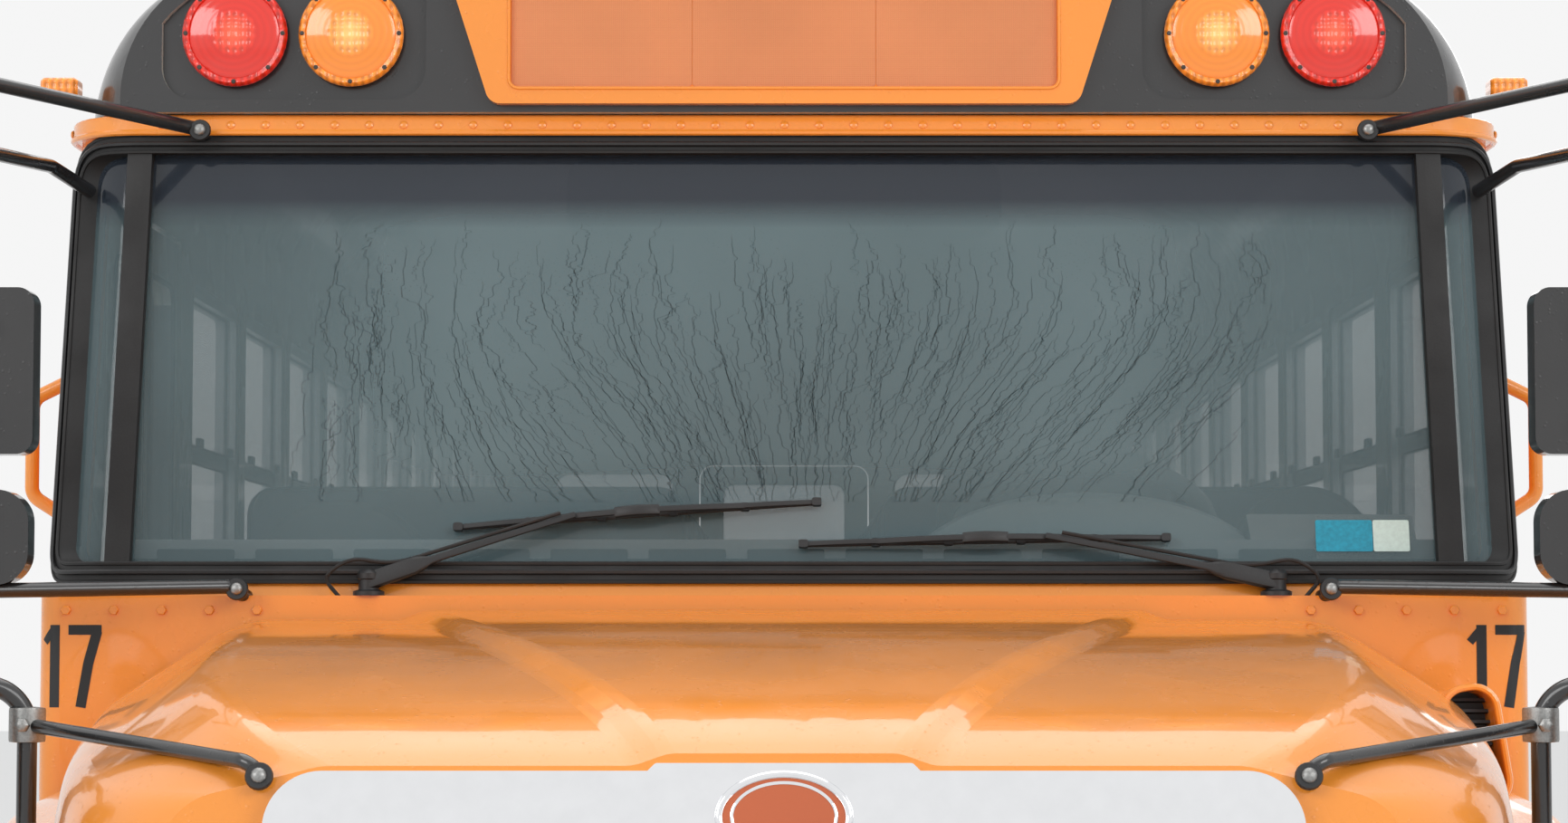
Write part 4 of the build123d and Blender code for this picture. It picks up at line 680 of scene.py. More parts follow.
def tube(points, radius, corner=0.03, sides=12, **options):
    """A round bar with eased corners."""
    path = bend(points, corner) if len(points) > 2 else np.asarray(points, float)
    return carried(ring(radius, sides), path, **options)


print("points of a straight tube:", len(tube([(0, 0, 0), (0, 0, 1)], 0.01)[0]))

# %% [markdown]
# Brackets, labels and small covers are plates with eased edges. Without the ease an edge catches no light
# and the plate looks cut from paper.

# %% Outlines and plates
def rounded_rectangle(width, height, corner, steps=6):
    """Outline points, corner by corner: centre of the corner plus a quarter circle."""
    t = np.linspace(0, math.pi / 2, steps)
    quarters = [(1, 1, 0), (-1, 1, 1), (-1, -1, 2), (1, -1, 3)]
    arcs = [np.column_stack([sx * (width / 2 - corner) + corner * np.cos(t + q * math.pi / 2),
                             sy * (height / 2 - corner) + corner * np.sin(t + q * math.pi / 2)])
            for sx, sy, q in quarters]
    return np.vstack(arcs)


def lifted(outline, height=0.0):
    """A flat outline's points with one height."""
    return np.column_stack([outline, np.full(len(outline), height)])


def plate(outline, thickness, ease=0.002):
    """A flat plate with eased edges: outline rings drawn in at both faces, each face closed by a fan."""
    outline = np.asarray(outline, float)
    middle = outline.mean(0)
    inward = middle - outline
    inward /= np.linalg.norm(inward, axis=1, keepdims=True)
    rows = [(None, 0), (ease, 0), (0, ease), (0, thickness - ease), (ease, thickness), (None, thickness)]
    rings = [np.column_stack([np.broadcast_to(middle, outline.shape) if d is None else outline + inward * d,
                              np.full(len(outline), h)]) for d, h in rows]
    return np.vstack(rings), grid_faces(len(rows), len(outline), wrap_columns=True)


def rounded_plate(width, height, corner, steps, thickness, ease=0.002):
    """A plate whose outline is a rounded rectangle."""
    return plate(rounded_rectangle(width, height, corner, steps), thickness, ease)


print("faces of a plate with rounded corners:", len(rounded_plate(0.1, 0.1, 0.01, 4, 0.004)[1]))

# %% [markdown]
# ## Lines of the body
# The CAD gives each solid, but a row of rivets needs the line that it follows. These few sizes and functions
# give any height on the raked front, and the arch of the roof at any place round it.

# %% Body lines
HALF_BODY = 1.22
CORNER = 0.13
RAKE = math.radians(14)
COWL_TOP = 1.776
SCREEN_FOOT = at(1.53)
SCREEN_NORMAL = (0, -math.cos(RAKE), math.sin(RAKE))
EAVE_Z, EAVE_RADIUS, ROOF_TOP = 2.56, 0.31, 3.08
WINDOW_PITCH = 0.711
POSTS = at(2.72) + WINDOW_PITCH * np.arange(12)
WINDOW_MIDDLES = POSTS[:-1] + WINDOW_PITCH / 2
FRONT_AXLE, REAR_AXLE = at(1.05), at(7.50)
REAR_Y = at(11.05)


def screen_y(z):
    """The raked front plane: its foot's Y plus the height above the cowl times the tangent of the rake."""
    return SCREEN_FOOT + (z - COWL_TOP) * math.tan(RAKE)


def front_line(z, proud=0.0, back=2.1, corner=CORNER, steps=9):
    """The body's front seen from above at height z, set out by proud: side, turn, front, turn, side."""
    y0, half, r = screen_y(z) - proud / math.cos(RAKE), HALF_BODY + proud, corner + proud
    t = np.linspace(0, math.pi / 2, steps)
    turn = np.column_stack([half - r + r * np.sin(t), y0 + r - r * np.cos(t)])
    right = np.vstack([turn, [half, at(back)]])
    plan = np.vstack([right[::-1] * (-1, 1), right])
    return lifted(plan, z)


print("front line at 2 m:", len(front_line(2.0)), "points")


# %% Points at even distances
def spaced(path, marks_of):
    """Points at the distances marks_of(length) along a path, found by adding up its straight runs."""
    path = np.asarray(path, float)
    gone = np.concatenate([[0], np.cumsum(np.linalg.norm(np.diff(path, axis=0), axis=1))])
    marks = marks_of(gone[-1])
    return np.column_stack([np.interp(marks, gone, column) for column in path.T])


def along(path, pitch):
    """Points every pitch metres along a path, the first half a pitch from its start."""
    return spaced(path, lambda length: np.arange(pitch / 2, length, pitch))


print("every half metre:", along([(0, 0, 0), (2, 0, 0)], 0.5)[:, 0].tolist())


# %% The roof's arch
def roof_arch(steps=60, proud=0.0):
    """The roof's outer line in X and Z: an arc at each eave and one wide arc between them, all tangent."""
    cx = HALF_BODY - EAVE_RADIUS
    rise = ROOF_TOP - EAVE_Z
    crown = (cx**2 + rise**2 - EAVE_RADIUS**2) / (2 * (rise - EAVE_RADIUS))
    middle = ROOF_TOP - crown
    split = math.atan2(EAVE_Z - middle, cx)
    eave = np.linspace(0, split, 14)
    top = np.linspace(split, math.pi - split, steps)
    r, big = EAVE_RADIUS + proud, crown + proud
    right = np.column_stack([cx + r * np.cos(eave), EAVE_Z + r * np.sin(eave)])
    wide = np.column_stack([big * np.cos(top), middle + big * np.sin(top)])
    return np.vstack([right, wide[1:-1], right[::-1] * (-1, 1)])


print("roof arch points:", len(roof_arch()))

# %% [markdown]
# ## Rivets
# School buses are riveted by the hundred, and the rows make the flat sheets read as real metal. A rivet
# head is a low dome with only 24 faces, because it is repeated so often. It is turned once and then copied
# in whole arrays to the drip rail, the roof bows, the side seams and the rub rails.

# %% Drip rail rivets
RIVET = turned([(0.0075, -0.001), (0.0072, 0.0016), (0.0045, 0.0034), (0.0, 0.0042)], 8)
SMALL_RIVET = turned([(0.0052, -0.001), (0.005, 0.0012), (0.003, 0.0024), (0.0, 0.0029)], 8)

rail_row = front_line(2.580, 0.0182)
marks = along(rail_row, 0.059)
flat = np.abs(marks[:, 0]) < HALF_BODY - CORNER
rail_normals = np.where(flat[:, None], SCREEN_NORMAL, np.sign(marks[:, :1]) * SIDEWAYS + (0, -0.001, 0))
off_corner = flat | (np.abs(marks[:, 0]) >= HALF_BODY)
piece("drip_rail_rivets", copies(RIVET, marks[off_corner], rail_normals[off_corner]), yellow_part)
print("rivets on the drip rail:", int(off_corner.sum()))

# %% Roof rivets
arch = roof_arch(46, 0.006)
arch3 = np.column_stack([arch[:, 0], np.zeros(len(arch)), arch[:, 1]])
arch_marks = along(arch3, 0.072)
arch_normals = arch_marks - (0, 0, 1.2)
bow_lines = (POSTS[:, None] + np.array([-0.014, 0.014])).ravel()
bow_places = (arch_marks + bow_lines[:, None, None] * REARWARD).reshape(-1, 3)
bow_normals = np.tile(arch_normals, (len(bow_lines), 1))
piece("roof_rivets", copies(SMALL_RIVET, bow_places, bow_normals, REARWARD), yellow_part)
print("rivets on the roof:", len(bow_places))

# %% Side rivets and rub rail bolts
SIDES = np.array([-1.0, 1.0])
ARCH_TOP = 1.2
ARCH_CLEAR = 0.66
seam_heights = np.concatenate([np.arange(0.72, 0.91, 0.045), np.arange(1.05, 1.24, 0.045),
                               np.arange(1.37, 1.59, 0.045)])
s, y, z = np.meshgrid(SIDES, POSTS[:-1], seam_heights, indexing="ij")
clear = (np.abs(y - REAR_AXLE) > ARCH_CLEAR) | (z > ARCH_TOP)
seam_places = np.column_stack([(s * HALF_BODY)[clear], y[clear], z[clear]])
seam_normals = np.sign(seam_places[:, :1]) * SIDEWAYS
s, y, z = np.meshgrid(SIDES, np.arange(at(2.76), at(10.65), 0.118), (2.470, 1.735), indexing="ij")
row_places = np.column_stack([(s * HALF_BODY).ravel(), y.ravel(), z.ravel()])
row_normals = np.sign(row_places[:, :1]) * SIDEWAYS
piece("side_rivets", copies(SMALL_RIVET, np.vstack([seam_places, row_places]),
                            np.vstack([seam_normals, row_normals])), yellow_part)

s, y, z = np.meshgrid(SIDES, np.arange(at(2.75), at(10.65), 0.237),
                      (1.638, 1.672, 1.283, 1.317, 0.958, 0.992), indexing="ij")
clear = (np.abs(y - REAR_AXLE) > ARCH_CLEAR + 0.02) | (z > ARCH_TOP)
rail_places = np.column_stack([(s * (HALF_BODY + 0.0138))[clear], y[clear], z[clear]])
piece("rub_rail_bolts", copies(RIVET, rail_places, np.sign(rail_places[:, :1]) * SIDEWAYS), black_enamel)
print("rivets and bolts on the sides:", len(seam_places) + len(row_places) + len(rail_places))

# %% [markdown]
# ## The drip rail's lip
# Rain from the roof runs to a small gutter above the windshield. Its lower edge is rolled, which gives a
# bright line just above the seal. A round section is carried along the same plan line as the rail.

# %% Rolled lip
piece("drip_rail_lip", carried(ring(0.0055, 8), front_line(2.567, 0.016, 2.08)), yellow_part)
piece("drip_rail_bead", carried(ring(0.004, 8), front_line(2.594, 0.0125, 2.08)), yellow_part)

# %% [markdown]
# ## Warning and tail lamps
# Each round lamp is a black bezel and a domed lens held by eight screws, with the shine of a bulb reflector
# painted on the lens as a paler middle, a painted highlight. The dome is a turned profile whose height falls
# as the square of r, so its ribs and highlights curve as a real lens does. The plain CAD discs stay in the
# physics and are hidden here.

# %% Round lamps
LAMP_RADIUS = 0.089
SCREW_CIRCLE = 0.0825
CAP_FACE = at(1.70)
red_places = [(s * x, y, z, f) for s in (-1, 1) for x, y, z, f in
              ((0.935, CAP_FACE, 2.733, -1), (0.900, REAR_Y, 2.690, 1), (0.960, REAR_Y, 1.480, 1))]
amber_places = [(s * x, y, z, f) for s in (-1, 1) for x, y, z, f in
                ((0.737, CAP_FACE, 2.733, -1), (0.695, REAR_Y, 2.690, 1), (0.960, REAR_Y, 1.270, 1))]


def dome(radius, rise, rings=14, low=0.0):
    """A lens profile from the rim to the middle: height = low + rise (1 - (r / radius) squared)."""
    r = np.linspace(1, 0, rings)
    return np.column_stack([radius * r, low + rise * (1 - r**2)])


lens_profile = np.vstack([[(0, 0.001), (0.078, 0.001), (0.0785, 0.012)], dome(0.078, 0.0125, 16, 0.0125)])
bezel_profile = [(0.0775, 0.0), (LAMP_RADIUS, 0.0), (LAMP_RADIUS + 0.001, 0.006),
                 (LAMP_RADIUS - 0.002, 0.0145), (0.0845, 0.0165), (0.0775, 0.0150), (0.0775, 0.0)]
screw = turned([(0.0042, -0.001), (0.0042, 0.0016), (0.0030, 0.0026), (0.0, 0.0026)], 6)
for colour, places, finish in (("red", red_places, red_lens), ("amber", amber_places, amber_lens)):
    spots = np.array([p[:3] for p in places])
    faces_out = np.array([(0, p[3], 0) for p in places])
    dome_piece = piece(f"{colour}_lenses", copies(turned(lens_profile, 48), spots, faces_out), finish)
    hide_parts(f"{colour}_lamps")
    lens_mesh = dome_piece.data
    flat_points = np.empty(len(lens_mesh.vertices) * 3)
    lens_mesh.vertices.foreach_get("co", flat_points)
    apart = flat_points.reshape(-1, 1, 3) - spots[None]
    apart[np.abs(apart[..., 1]) > 0.1] = 9.0
    from_axis = np.hypot(apart[..., 0], apart[..., 2]).min(1)
    lens_mesh.attributes.new("from_axis", "FLOAT", "POINT").data.foreach_set("value", from_axis + 0.0001)
    piece(f"{colour}_lamp_bezels", copies(turned(bezel_profile, 48), spots, faces_out), finish)
    around = round_circle(8)
    offsets = np.column_stack([SCREW_CIRCLE * np.cos(around), 0 * around, SCREW_CIRCLE * np.sin(around)])
    screw_places = (spots[:, None] + offsets[None] + 0.0155 * faces_out[:, None]).reshape(-1, 3)
    piece(f"{colour}_lamp_screws", copies(screw, screw_places, np.repeat(faces_out, 8, axis=0)), iron)
print("lamps:", len(red_places) + len(amber_places))

# %% [markdown]
# ## Wipers
# The two wipers are what the eye meets first on the glass. Each is a cast head on a ribbed spindle, a
# tapered arm, a bridge that bows over the blade, claws that hold it, and a rubber lip that touches the
# glass. A washer hose loops out of the cowl and runs along the arm. Everything is drawn on the raked plane
# of the glass, so a helper turns across, up the slope and out from the glass into a place. The bow is a
# half sine, off = low + rise sin(pi t).

# %% Places on the glass
SCREEN_UP = np.array([0, math.sin(RAKE), math.cos(RAKE)])
OUTWARD = np.array(SCREEN_NORMAL)
WIPERS = [(-0.680, -0.344, -0.538, 0.054, 0.117, 0.160), (0.806, 0.430, 0.630, 0.032, 0.099, 0.088)]
FLAT_BAR = rounded_rectangle(1, 1, 0.24, 3)


def on_screen(x, rise, off):
    """Places on the raked glass: x across, rise up the slope from its foot and off out along its normal."""
    x, rise, off = (a[..., None]
                    for a in np.broadcast_arrays(*(np.asarray(v, float) for v in (x, rise, off))))
    return np.array([0, SCREEN_FOOT, COWL_TOP]) + x * SIDEWAYS + rise * SCREEN_UP + off * OUTWARD


def bowed(ends, low, rise, steps=17):
    """A line between two (x, rise) ends on the glass, low + rise sin(pi t) off it."""
    t = np.linspace(0, 1, steps)
    (x0, h0), (x1, h1) = ends
    return on_screen(x0 + t * (x1 - x0), h0 + t * (h1 - h0), low + rise * np.sin(math.pi * t))


def between(a, b, t):
    """The pair at the share t of the way from a to b."""
    return (a[0] + (b[0] - a[0]) * t, a[1] + (b[1] - a[1]) * t)


print("the glass leans back by", round(math.degrees(RAKE)), "degrees")

# %% Wiper pieces
arms, rubbers, hoses = [], [], []
for pivot_x, end_x, blade_a, blade_b, low_a, low_b in WIPERS:
    a, b = (blade_a, low_a), (blade_b, low_b)
    pivot, grip = (pivot_x, 0.018), between(a, b, (end_x - blade_a) / (blade_b - blade_a))
    reach = np.linspace(0, 1, 24)
    arm = bowed((pivot, grip), 0.026, 0.006, 24)
    head_share = np.clip((0.30 - reach) / 0.06, 0, 1)
    width = 0.010 + 0.016 * head_share + 0.004 * (1 - reach)
    depth = 0.006 + 0.010 * head_share
    arms.append(carried(FLAT_BAR, arm, up=OUTWARD, sizes=np.column_stack([width, depth])))
    spindle = turned([(0.0, 0), (0.026, 0), (0.026, 0.007), (0.017, 0.010), (0.0165, 0.026), (0.019, 0.028),
                      (0.019, 0.037), (0.013, 0.043), (0.0, 0.044)], 20)
    arms.append((spindle[0] + (pivot_x, at(1.516), COWL_TOP), spindle[1]))
    arms.append(carried(FLAT_BAR, bowed((between(a, b, 0.2), between(a, b, 0.8)), 0.008, 0.016, 15),
                        up=OUTWARD, sizes=(0.010, 0.006)))
    for first, last in ((0.0, 0.4), (0.6, 1.0)):
        arms.append(carried(FLAT_BAR, bowed((between(a, b, first), between(a, b, last)), 0.000, 0.009, 11),
                            up=OUTWARD, sizes=(0.0085, 0.005)))
    for t in (0.0, 0.2, 0.4, 0.6, 0.8, 1.0):
        spot = between(a, b, t)
        arms.append(carried(FLAT_BAR, on_screen([spot[0]] * 2, [spot[1]] * 2, [-0.006, 0.006]), up=SIDEWAYS,
                            sizes=(0.013, 0.016)))
    arms.append(carried(FLAT_BAR, bowed((between(a, b, 0.44), between(a, b, 0.56)), 0.018, 0.006, 7),
                        up=OUTWARD, sizes=(0.018, 0.015)))
    rubbers.append(carried(FLAT_BAR, bowed((a, b), -0.0035, 0.0, 9), up=OUTWARD, sizes=(0.009, 0.003)))
    rubbers.append(carried(FLAT_BAR, bowed((a, b), -0.0085, 0.0, 9), up=OUTWARD, sizes=(0.0022, 0.009)))
    out = math.copysign(1.0, pivot_x)
    loop = [(pivot_x + out * 0.046, at(1.512), COWL_TOP - 0.004),
            (pivot_x + out * 0.075, at(1.505), COWL_TOP + 0.030),
            (pivot_x + out * 0.030, at(1.500), COWL_TOP + 0.062)]
    lane_x, lane_rise = np.array([between(pivot, grip, t) for t in (0.12, 0.5, 0.93)]).T
    lane = [tuple(p) for p in on_screen(lane_x, lane_rise + (0.0135, 0.0115, 0.0095), 0.031)]
    hoses.append(tube(loop + lane, 0.0034, 0.12, 8))
wiper_arms = piece("wiper_arms", arms, black_satin)
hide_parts("wipers")
piece("wiper_rubbers", rubbers, rubber)
piece("washer_hoses", hoses, rubber)
print("wipers:", made["wiper_arms"], "faces")

# %% [markdown]
# ## Windshield rubber
# A locking strip is pressed into the middle of the seal and catches the light as one thin line all the way
# round, with a second raised lip where the rubber meets the glass. The opening is a slot cut through the
# body from side to side: in side view it has two level edges and a rear edge parallel to the rake, with
# eased corners. On the body's rounded corner a point of that outline at y has the angle t with 1 - cos t =
# (y - front) / r along the rake.

# %% The opening's outline
WRAP = 0.085
SLOT_CORNER = 0.07


def eased_corner(before, here, after, radius, steps=10):
    """The arc tangent to both runs at a corner, turned about its centre from the one to the other."""
    back, ahead = ((p - here) / np.linalg.norm(p - here) for p in (before, after))
    half = math.acos(back @ ahead) / 2
    centre = here + (back + ahead) / np.linalg.norm(back + ahead) * radius / math.sin(half)
    first, last = (here + way * radius / math.tan(half) - centre for way in (back, ahead))
    angle, t = math.pi - 2 * half, np.linspace(0, 1, steps)[:, None]
    return centre + (np.sin((1 - t) * angle) * first + np.sin(t * angle) * last) / math.sin(angle)


def opening_line(inset, proud):
    """The windshield's edge, set in by inset and out by proud: the slot's side view laid round the body."""
    heights = np.array([1.800 + inset, 2.562 - inset])
    lift = proud / math.cos(RAKE)
    rear = np.column_stack([screen_y(heights) + WRAP - inset, heights])
    lead = np.column_stack([screen_y(heights) - lift, heights])
    lower = eased_corner(lead[0], rear[0], rear[1], SLOT_CORNER - inset)
    upper = eased_corner(rear[0], rear[1], lead[1], SLOT_CORNER - inset)
    s = np.linspace(0, 1, 7)[:-1, None] ** 2
    slot = np.vstack([lead[0] + (lower[0] - lead[0]) * s, lower, upper,
                      (lead[1] + (upper[-1] - lead[1]) * s)[::-1]])
    behind = slot[:, 0] - screen_y(slot[:, 1]) + lift
    cosine = 1 - behind * math.cos(RAKE) / (CORNER + proud)
    across = HALF_BODY - CORNER + (CORNER + proud) * np.sqrt(np.clip(1 - cosine**2, 0, None))
    run = np.linspace(0, HALF_BODY - CORNER, 30)[:-1]
    level = [np.column_stack([run, 0 * run + y, 0 * run + z]) for y, z in lead]
    half_loop = np.vstack([level[0], np.column_stack([across, slot]), level[1][::-1]])
    return np.vstack([half_loop, half_loop[-2:0:-1] * (-1, 1, 1)])


print("points round the opening:", len(opening_line(0.0, 0.0)))

# %% Locking strip and lip
SEAL_UP = (0.04, 0.99, 0.11)
strip = opening_line(0.015, 0.0135)
piece("seal_locking_strip", bead(strip, 0.0042, SEAL_UP, sides=6), black_satin)
piece("seal_inner_lip", bead(opening_line(0.029, 0.0105), 0.0035, SEAL_UP, sides=6), rubber)
piece("seal_outer_lip", bead(opening_line(-0.001, 0.0095), 0.0035, SEAL_UP, sides=6), rubber)
print("seal:", len(strip), "points round the opening")

# %% [markdown]
# ## The front sign
# Three blank panels of reflective film with a faint diamond of prisms lie in the recess over the
# windshield, with two upright joints between them. The diamonds are two waves at right angles, multiplied,
# which costs nothing in geometry.

# %% Sign film
film = Finish("reflective_film", srgb(218, 136, 86), 0.42)
lattice = []
for k in (1.0, -1.0):
    slant = film.math("ADD", film.part(0), film.math("MULTIPLY", film.part(2), k))
    lattice.append(film.math("SINE", film.math("MULTIPLY", slant, 900.0)))
prisms = film.math("MULTIPLY", lattice[0], lattice[1])
film.shades(film.math("ADD", film.span(prisms, -1, 1, 0.0, 0.25), film.noise(4)), 0.3, 0.95, 0.9, 1.1)
film.rough(film.noise(12), 0.34, 0.5)
film.bump(prisms, 0.0002)
sheet_parts = []
for low_x, high_x in ((-0.4635, -0.1565), (-0.1555, 0.1555), (0.1565, 0.4635)):
    outline = rounded_rectangle(high_x - low_x, 0.187, 0.006, 4)
    shape = plate(outline, 0.0012, 0.0004)
    sheet_parts.append(set_at(shape, ((low_x + high_x) / 2, CAP_FACE - 0.0141, 2.735), FORWARD))
piece("sign_film", sheet_parts, film.material)
rim_line = lifted(rounded_rectangle(0.934, 0.194, 0.016, 5))
piece("sign_rim", bead(placed(rim_line, (0, CAP_FACE - 0.0222, 2.735), FORWARD), 0.003, REARWARD, sides=6),
      yellow_part)
print("sign:", made["sign_film"], "faces")

# %% [markdown]
# ## Small markers
# Marker lamps show how wide and high the bus is at night: a rounded block of ribbed plastic on a bright
# bracket at each shoulder, and three on the roof at both ends. Each is one eased plate, thick enough to be
# a block.

# %% Marker lamps
block = rounded_plate(0.056, 0.034, 0.008, 4, 0.064, 0.006)
pairs = [merged(*[set_at(block, (s * 1.218, at(1.80), 2.655), (s, 0, 0)) for s in (-1, 1)])]
roof_block = rounded_plate(0.100, 0.044, 0.016, 4, 0.048, 0.007)
front_markers = copies(roof_block, [(x, at(1.84), 2.994) for x in (-0.16, 0, 0.16)], *UPRIGHT)
rear_markers = copies(roof_block, [(x, at(10.82), 3.048) for x in (-0.16, 0, 0.16)], *UPRIGHT)
piece("amber_markers", [*pairs, front_markers], amber_lens)
piece("red_markers", rear_markers, red_lens)
bracket = rounded_plate(0.075, 0.052, 0.008, 4, 0.004, 0.001)
feet = [set_at(bracket, (s * 1.238, at(1.80), 2.633), *UPRIGHT) for s in (-1, 1)]
base = rounded_plate(0.116, 0.058, 0.02, 4, 0.006, 0.002)
roof_feet = copies(base, [(x, at(1.84), 3.0005 + 0.004 * (x == 0)) for x in (-0.16, 0, 0.16)],
                   (0, -0.28, 1), REARWARD)
piece("marker_brackets", [*feet, roof_feet], steel)
print("markers:", made["amber_markers"] + made["red_markers"], "faces")

# %% [markdown]
# ## Unit numbers
# A depot marks each bus with a plain number on both front corners. The figures here are plain ones, drawn
# as broad strokes of film: each stroke is a line of (across, up) points, widened to both sides, and laid on
# the sheet so that it follows the rounded corner. Many points along each stroke keep it on the sheet where
# the corner turns.

# %% Figures on the cowl
COWL_CORNER = 0.04


def stroke(points, width, steps=26):
    """A broad line: its points, spread evenly along it, moved to both sides by half the width."""
    p = spaced(points, lambda length: np.linspace(0, length, steps))
    run = np.gradient(p, axis=0)
    run /= np.linalg.norm(run, axis=1, keepdims=True)
    normal = np.column_stack([-run[:, 1], run[:, 0]])
    lanes = np.linspace(-0.5, 0.5, 5)[None, :, None] * width
    return (p[:, None] + normal[:, None] * lanes).reshape(-1, 2), grid_faces(len(p), 5)


FIGURE_HEIGHT = 0.134
one = [stroke([(0.0040, 0.0), (0.0040, FIGURE_HEIGHT)], 0.0165),
       stroke([(0.0020, FIGURE_HEIGHT - 0.008), (-0.0150, FIGURE_HEIGHT - 0.028)], 0.0130)]
seven = [stroke([(-0.0270, FIGURE_HEIGHT - 0.008), (0.0270, FIGURE_HEIGHT - 0.008)], 0.0160),
         stroke([(0.0200, FIGURE_HEIGHT - 0.010), (0.0060, 0.072), (-0.0060, 0.0)], 0.0165)]


def on_cowl(points, side, middle_x, base_z, proud):
    """Flat figure points laid on the cowl: across the front, then round its upright corner by arc length."""
    reach = side * (middle_x + points[:, 0])
    r, flat_end = COWL_CORNER, HALF_BODY - COWL_CORNER
    over = np.clip(reach - flat_end, 0, None) / r
    x = np.where(over > 0, flat_end + (r + proud) * np.sin(np.minimum(over, math.pi / 2)), reach)
    y = np.where(over > 0, at(1.5) + r - (r + proud) * np.cos(np.minimum(over, math.pi / 2)), at(1.5) - proud)
    return np.column_stack([side * x, y, base_z + points[:, 1]])


figures = []
for side in (-1, 1):
    for strokes, offset in ((one, -0.0300), (seven, 0.0235)):
        for lift, (points, faces) in enumerate(strokes):
            figures.append((on_cowl(points + (offset, 0), side, side * 1.164, 1.594,
                                    0.0008 + 0.0001 * lift), faces))
figure_film = grained("figure_film", srgb(24, 24, 25), 0.38, grain=200, height=0.00003)
piece("unit_numbers", figures, figure_film)
print("figures:", made["unit_numbers"], "faces")

# %% [markdown]
# ## Rain on the windshield
# Rain runs down the glass in thin beads that wander as they go. Each bead is a path of short steps: at
# every step it drops a little and moves sideways by a random amount, so its x is a running sum of those
# amounts. Near the foot the wipers have brushed the beads into a fan, so each step also leans towards the
# middle, most at a hand's breadth to either side of it. The section is three points wide with the middle
# one raised, and both ends taper to nothing.

# %% Rivulets
RIVULETS, RAIN_STEPS = 300, 84
RAIN_MIDDLE = 0.045
GLASS_OFF = -0.0138
dice = np.random.default_rng(11)
rain_x = np.empty((RIVULETS, RAIN_STEPS))
rain_top = dice.uniform(0.30, 0.665, RIVULETS)[:, None]
rain_fall = dice.uniform(0.06, 0.36, RIVULETS)[:, None]
rain_rise = np.maximum(rain_top - np.linspace(0, 1, RAIN_STEPS) * rain_fall, 0.165)
drop = -np.gradient(rain_rise, axis=1)
kinked = dice.random((RIVULETS, RAIN_STEPS)) < 0.3
jog = np.where(kinked, dice.normal(0, 0.0044, kinked.shape), dice.normal(0, 0.0007, kinked.shape))
here = np.linspace(-0.79, 0.82, RIVULETS) + dice.uniform(-0.012, 0.012, RIVULETS)
for step in range(RAIN_STEPS):
    off_middle = here - RAIN_MIDDLE
    fan = np.clip(np.abs(off_middle) / 0.34, 0, 1) * np.clip((0.54 - rain_rise[:, step]) / 0.16, 0, 1)
    fan = np.where(off_middle > 0, 0.85 * fan, 0.75 * fan * np.clip((0.66 + here) / 0.25, 0, 1))
    here = here + jog[:, step] - np.sign(off_middle) * fan * drop[:, step]
    rain_x[:, step] = here
taper = np.sin(np.linspace(0.02, math.pi - 0.02, RAIN_STEPS)) ** 0.3
bead_width = dice.uniform(0.0011, 0.0022, RIVULETS)[:, None] * taper
across = rain_x[..., None] + bead_width[..., None] * np.array([-0.5, 0.0, 0.5])
raised = GLASS_OFF + np.array([0.0, 0.0007, 0.0]) * taper[None, :, None]
rain_points = on_screen(across, rain_rise[..., None], np.broadcast_to(raised, across.shape)).reshape(-1, 3)
rain_faces = grid_faces(RAIN_STEPS, 3)[None] + np.arange(RIVULETS)[:, None, None] * RAIN_STEPS * 3
water = Finish("rain_water", srgb(46, 58, 62), 0.12)
water.shades(water.noise(30), 0.3, 0.7, 0.85, 1.15)
water.set(IOR=1.33, Alpha=0.36)
piece("rain_rivulets", (rain_points, rain_faces.reshape(-1, 4)), water.material, weld=1e-7)
print("rivulets:", RIVULETS, "faces", made["rain_rivulets"])

# %% [markdown]
# ## Labels on the glass
# Two blank labels stick to the lower corner on the driver's side, one deep teal and one pale. They carry
# nothing.

# %% Blank labels
label_teal = grained("label_teal", srgb(24, 146, 172), 0.35, grain=150, height=0.00002)
label_pale = grained("label_pale", srgb(206, 222, 212), 0.4, grain=150, height=0.00002, contrast=0.4)
for name, middle_x, width, finish in (("label_teal", 0.926, 0.094, label_teal),
                                      ("label_pale", 1.004, 0.060, label_pale)):
    label = rounded_plate(width, 0.054, 0.003, 3, 0.0006, 0.0002)
    spot = on_screen(middle_x, 0.106, GLASS_OFF)
    piece(name, set_at(label, spot, SCREEN_NORMAL), finish)
print("labels: 2")

# %% [markdown]
# ## Mirrors
# The CAD gives the tubes and the black heads. What makes them mirrors is behind: a flat glass over a convex
# one, each in a rubber gasket, and the clamps that hold the heads to the tube. The convex glass is its own
# outline shrunk to the middle in rings, with a bulge that grows as the rings shrink.

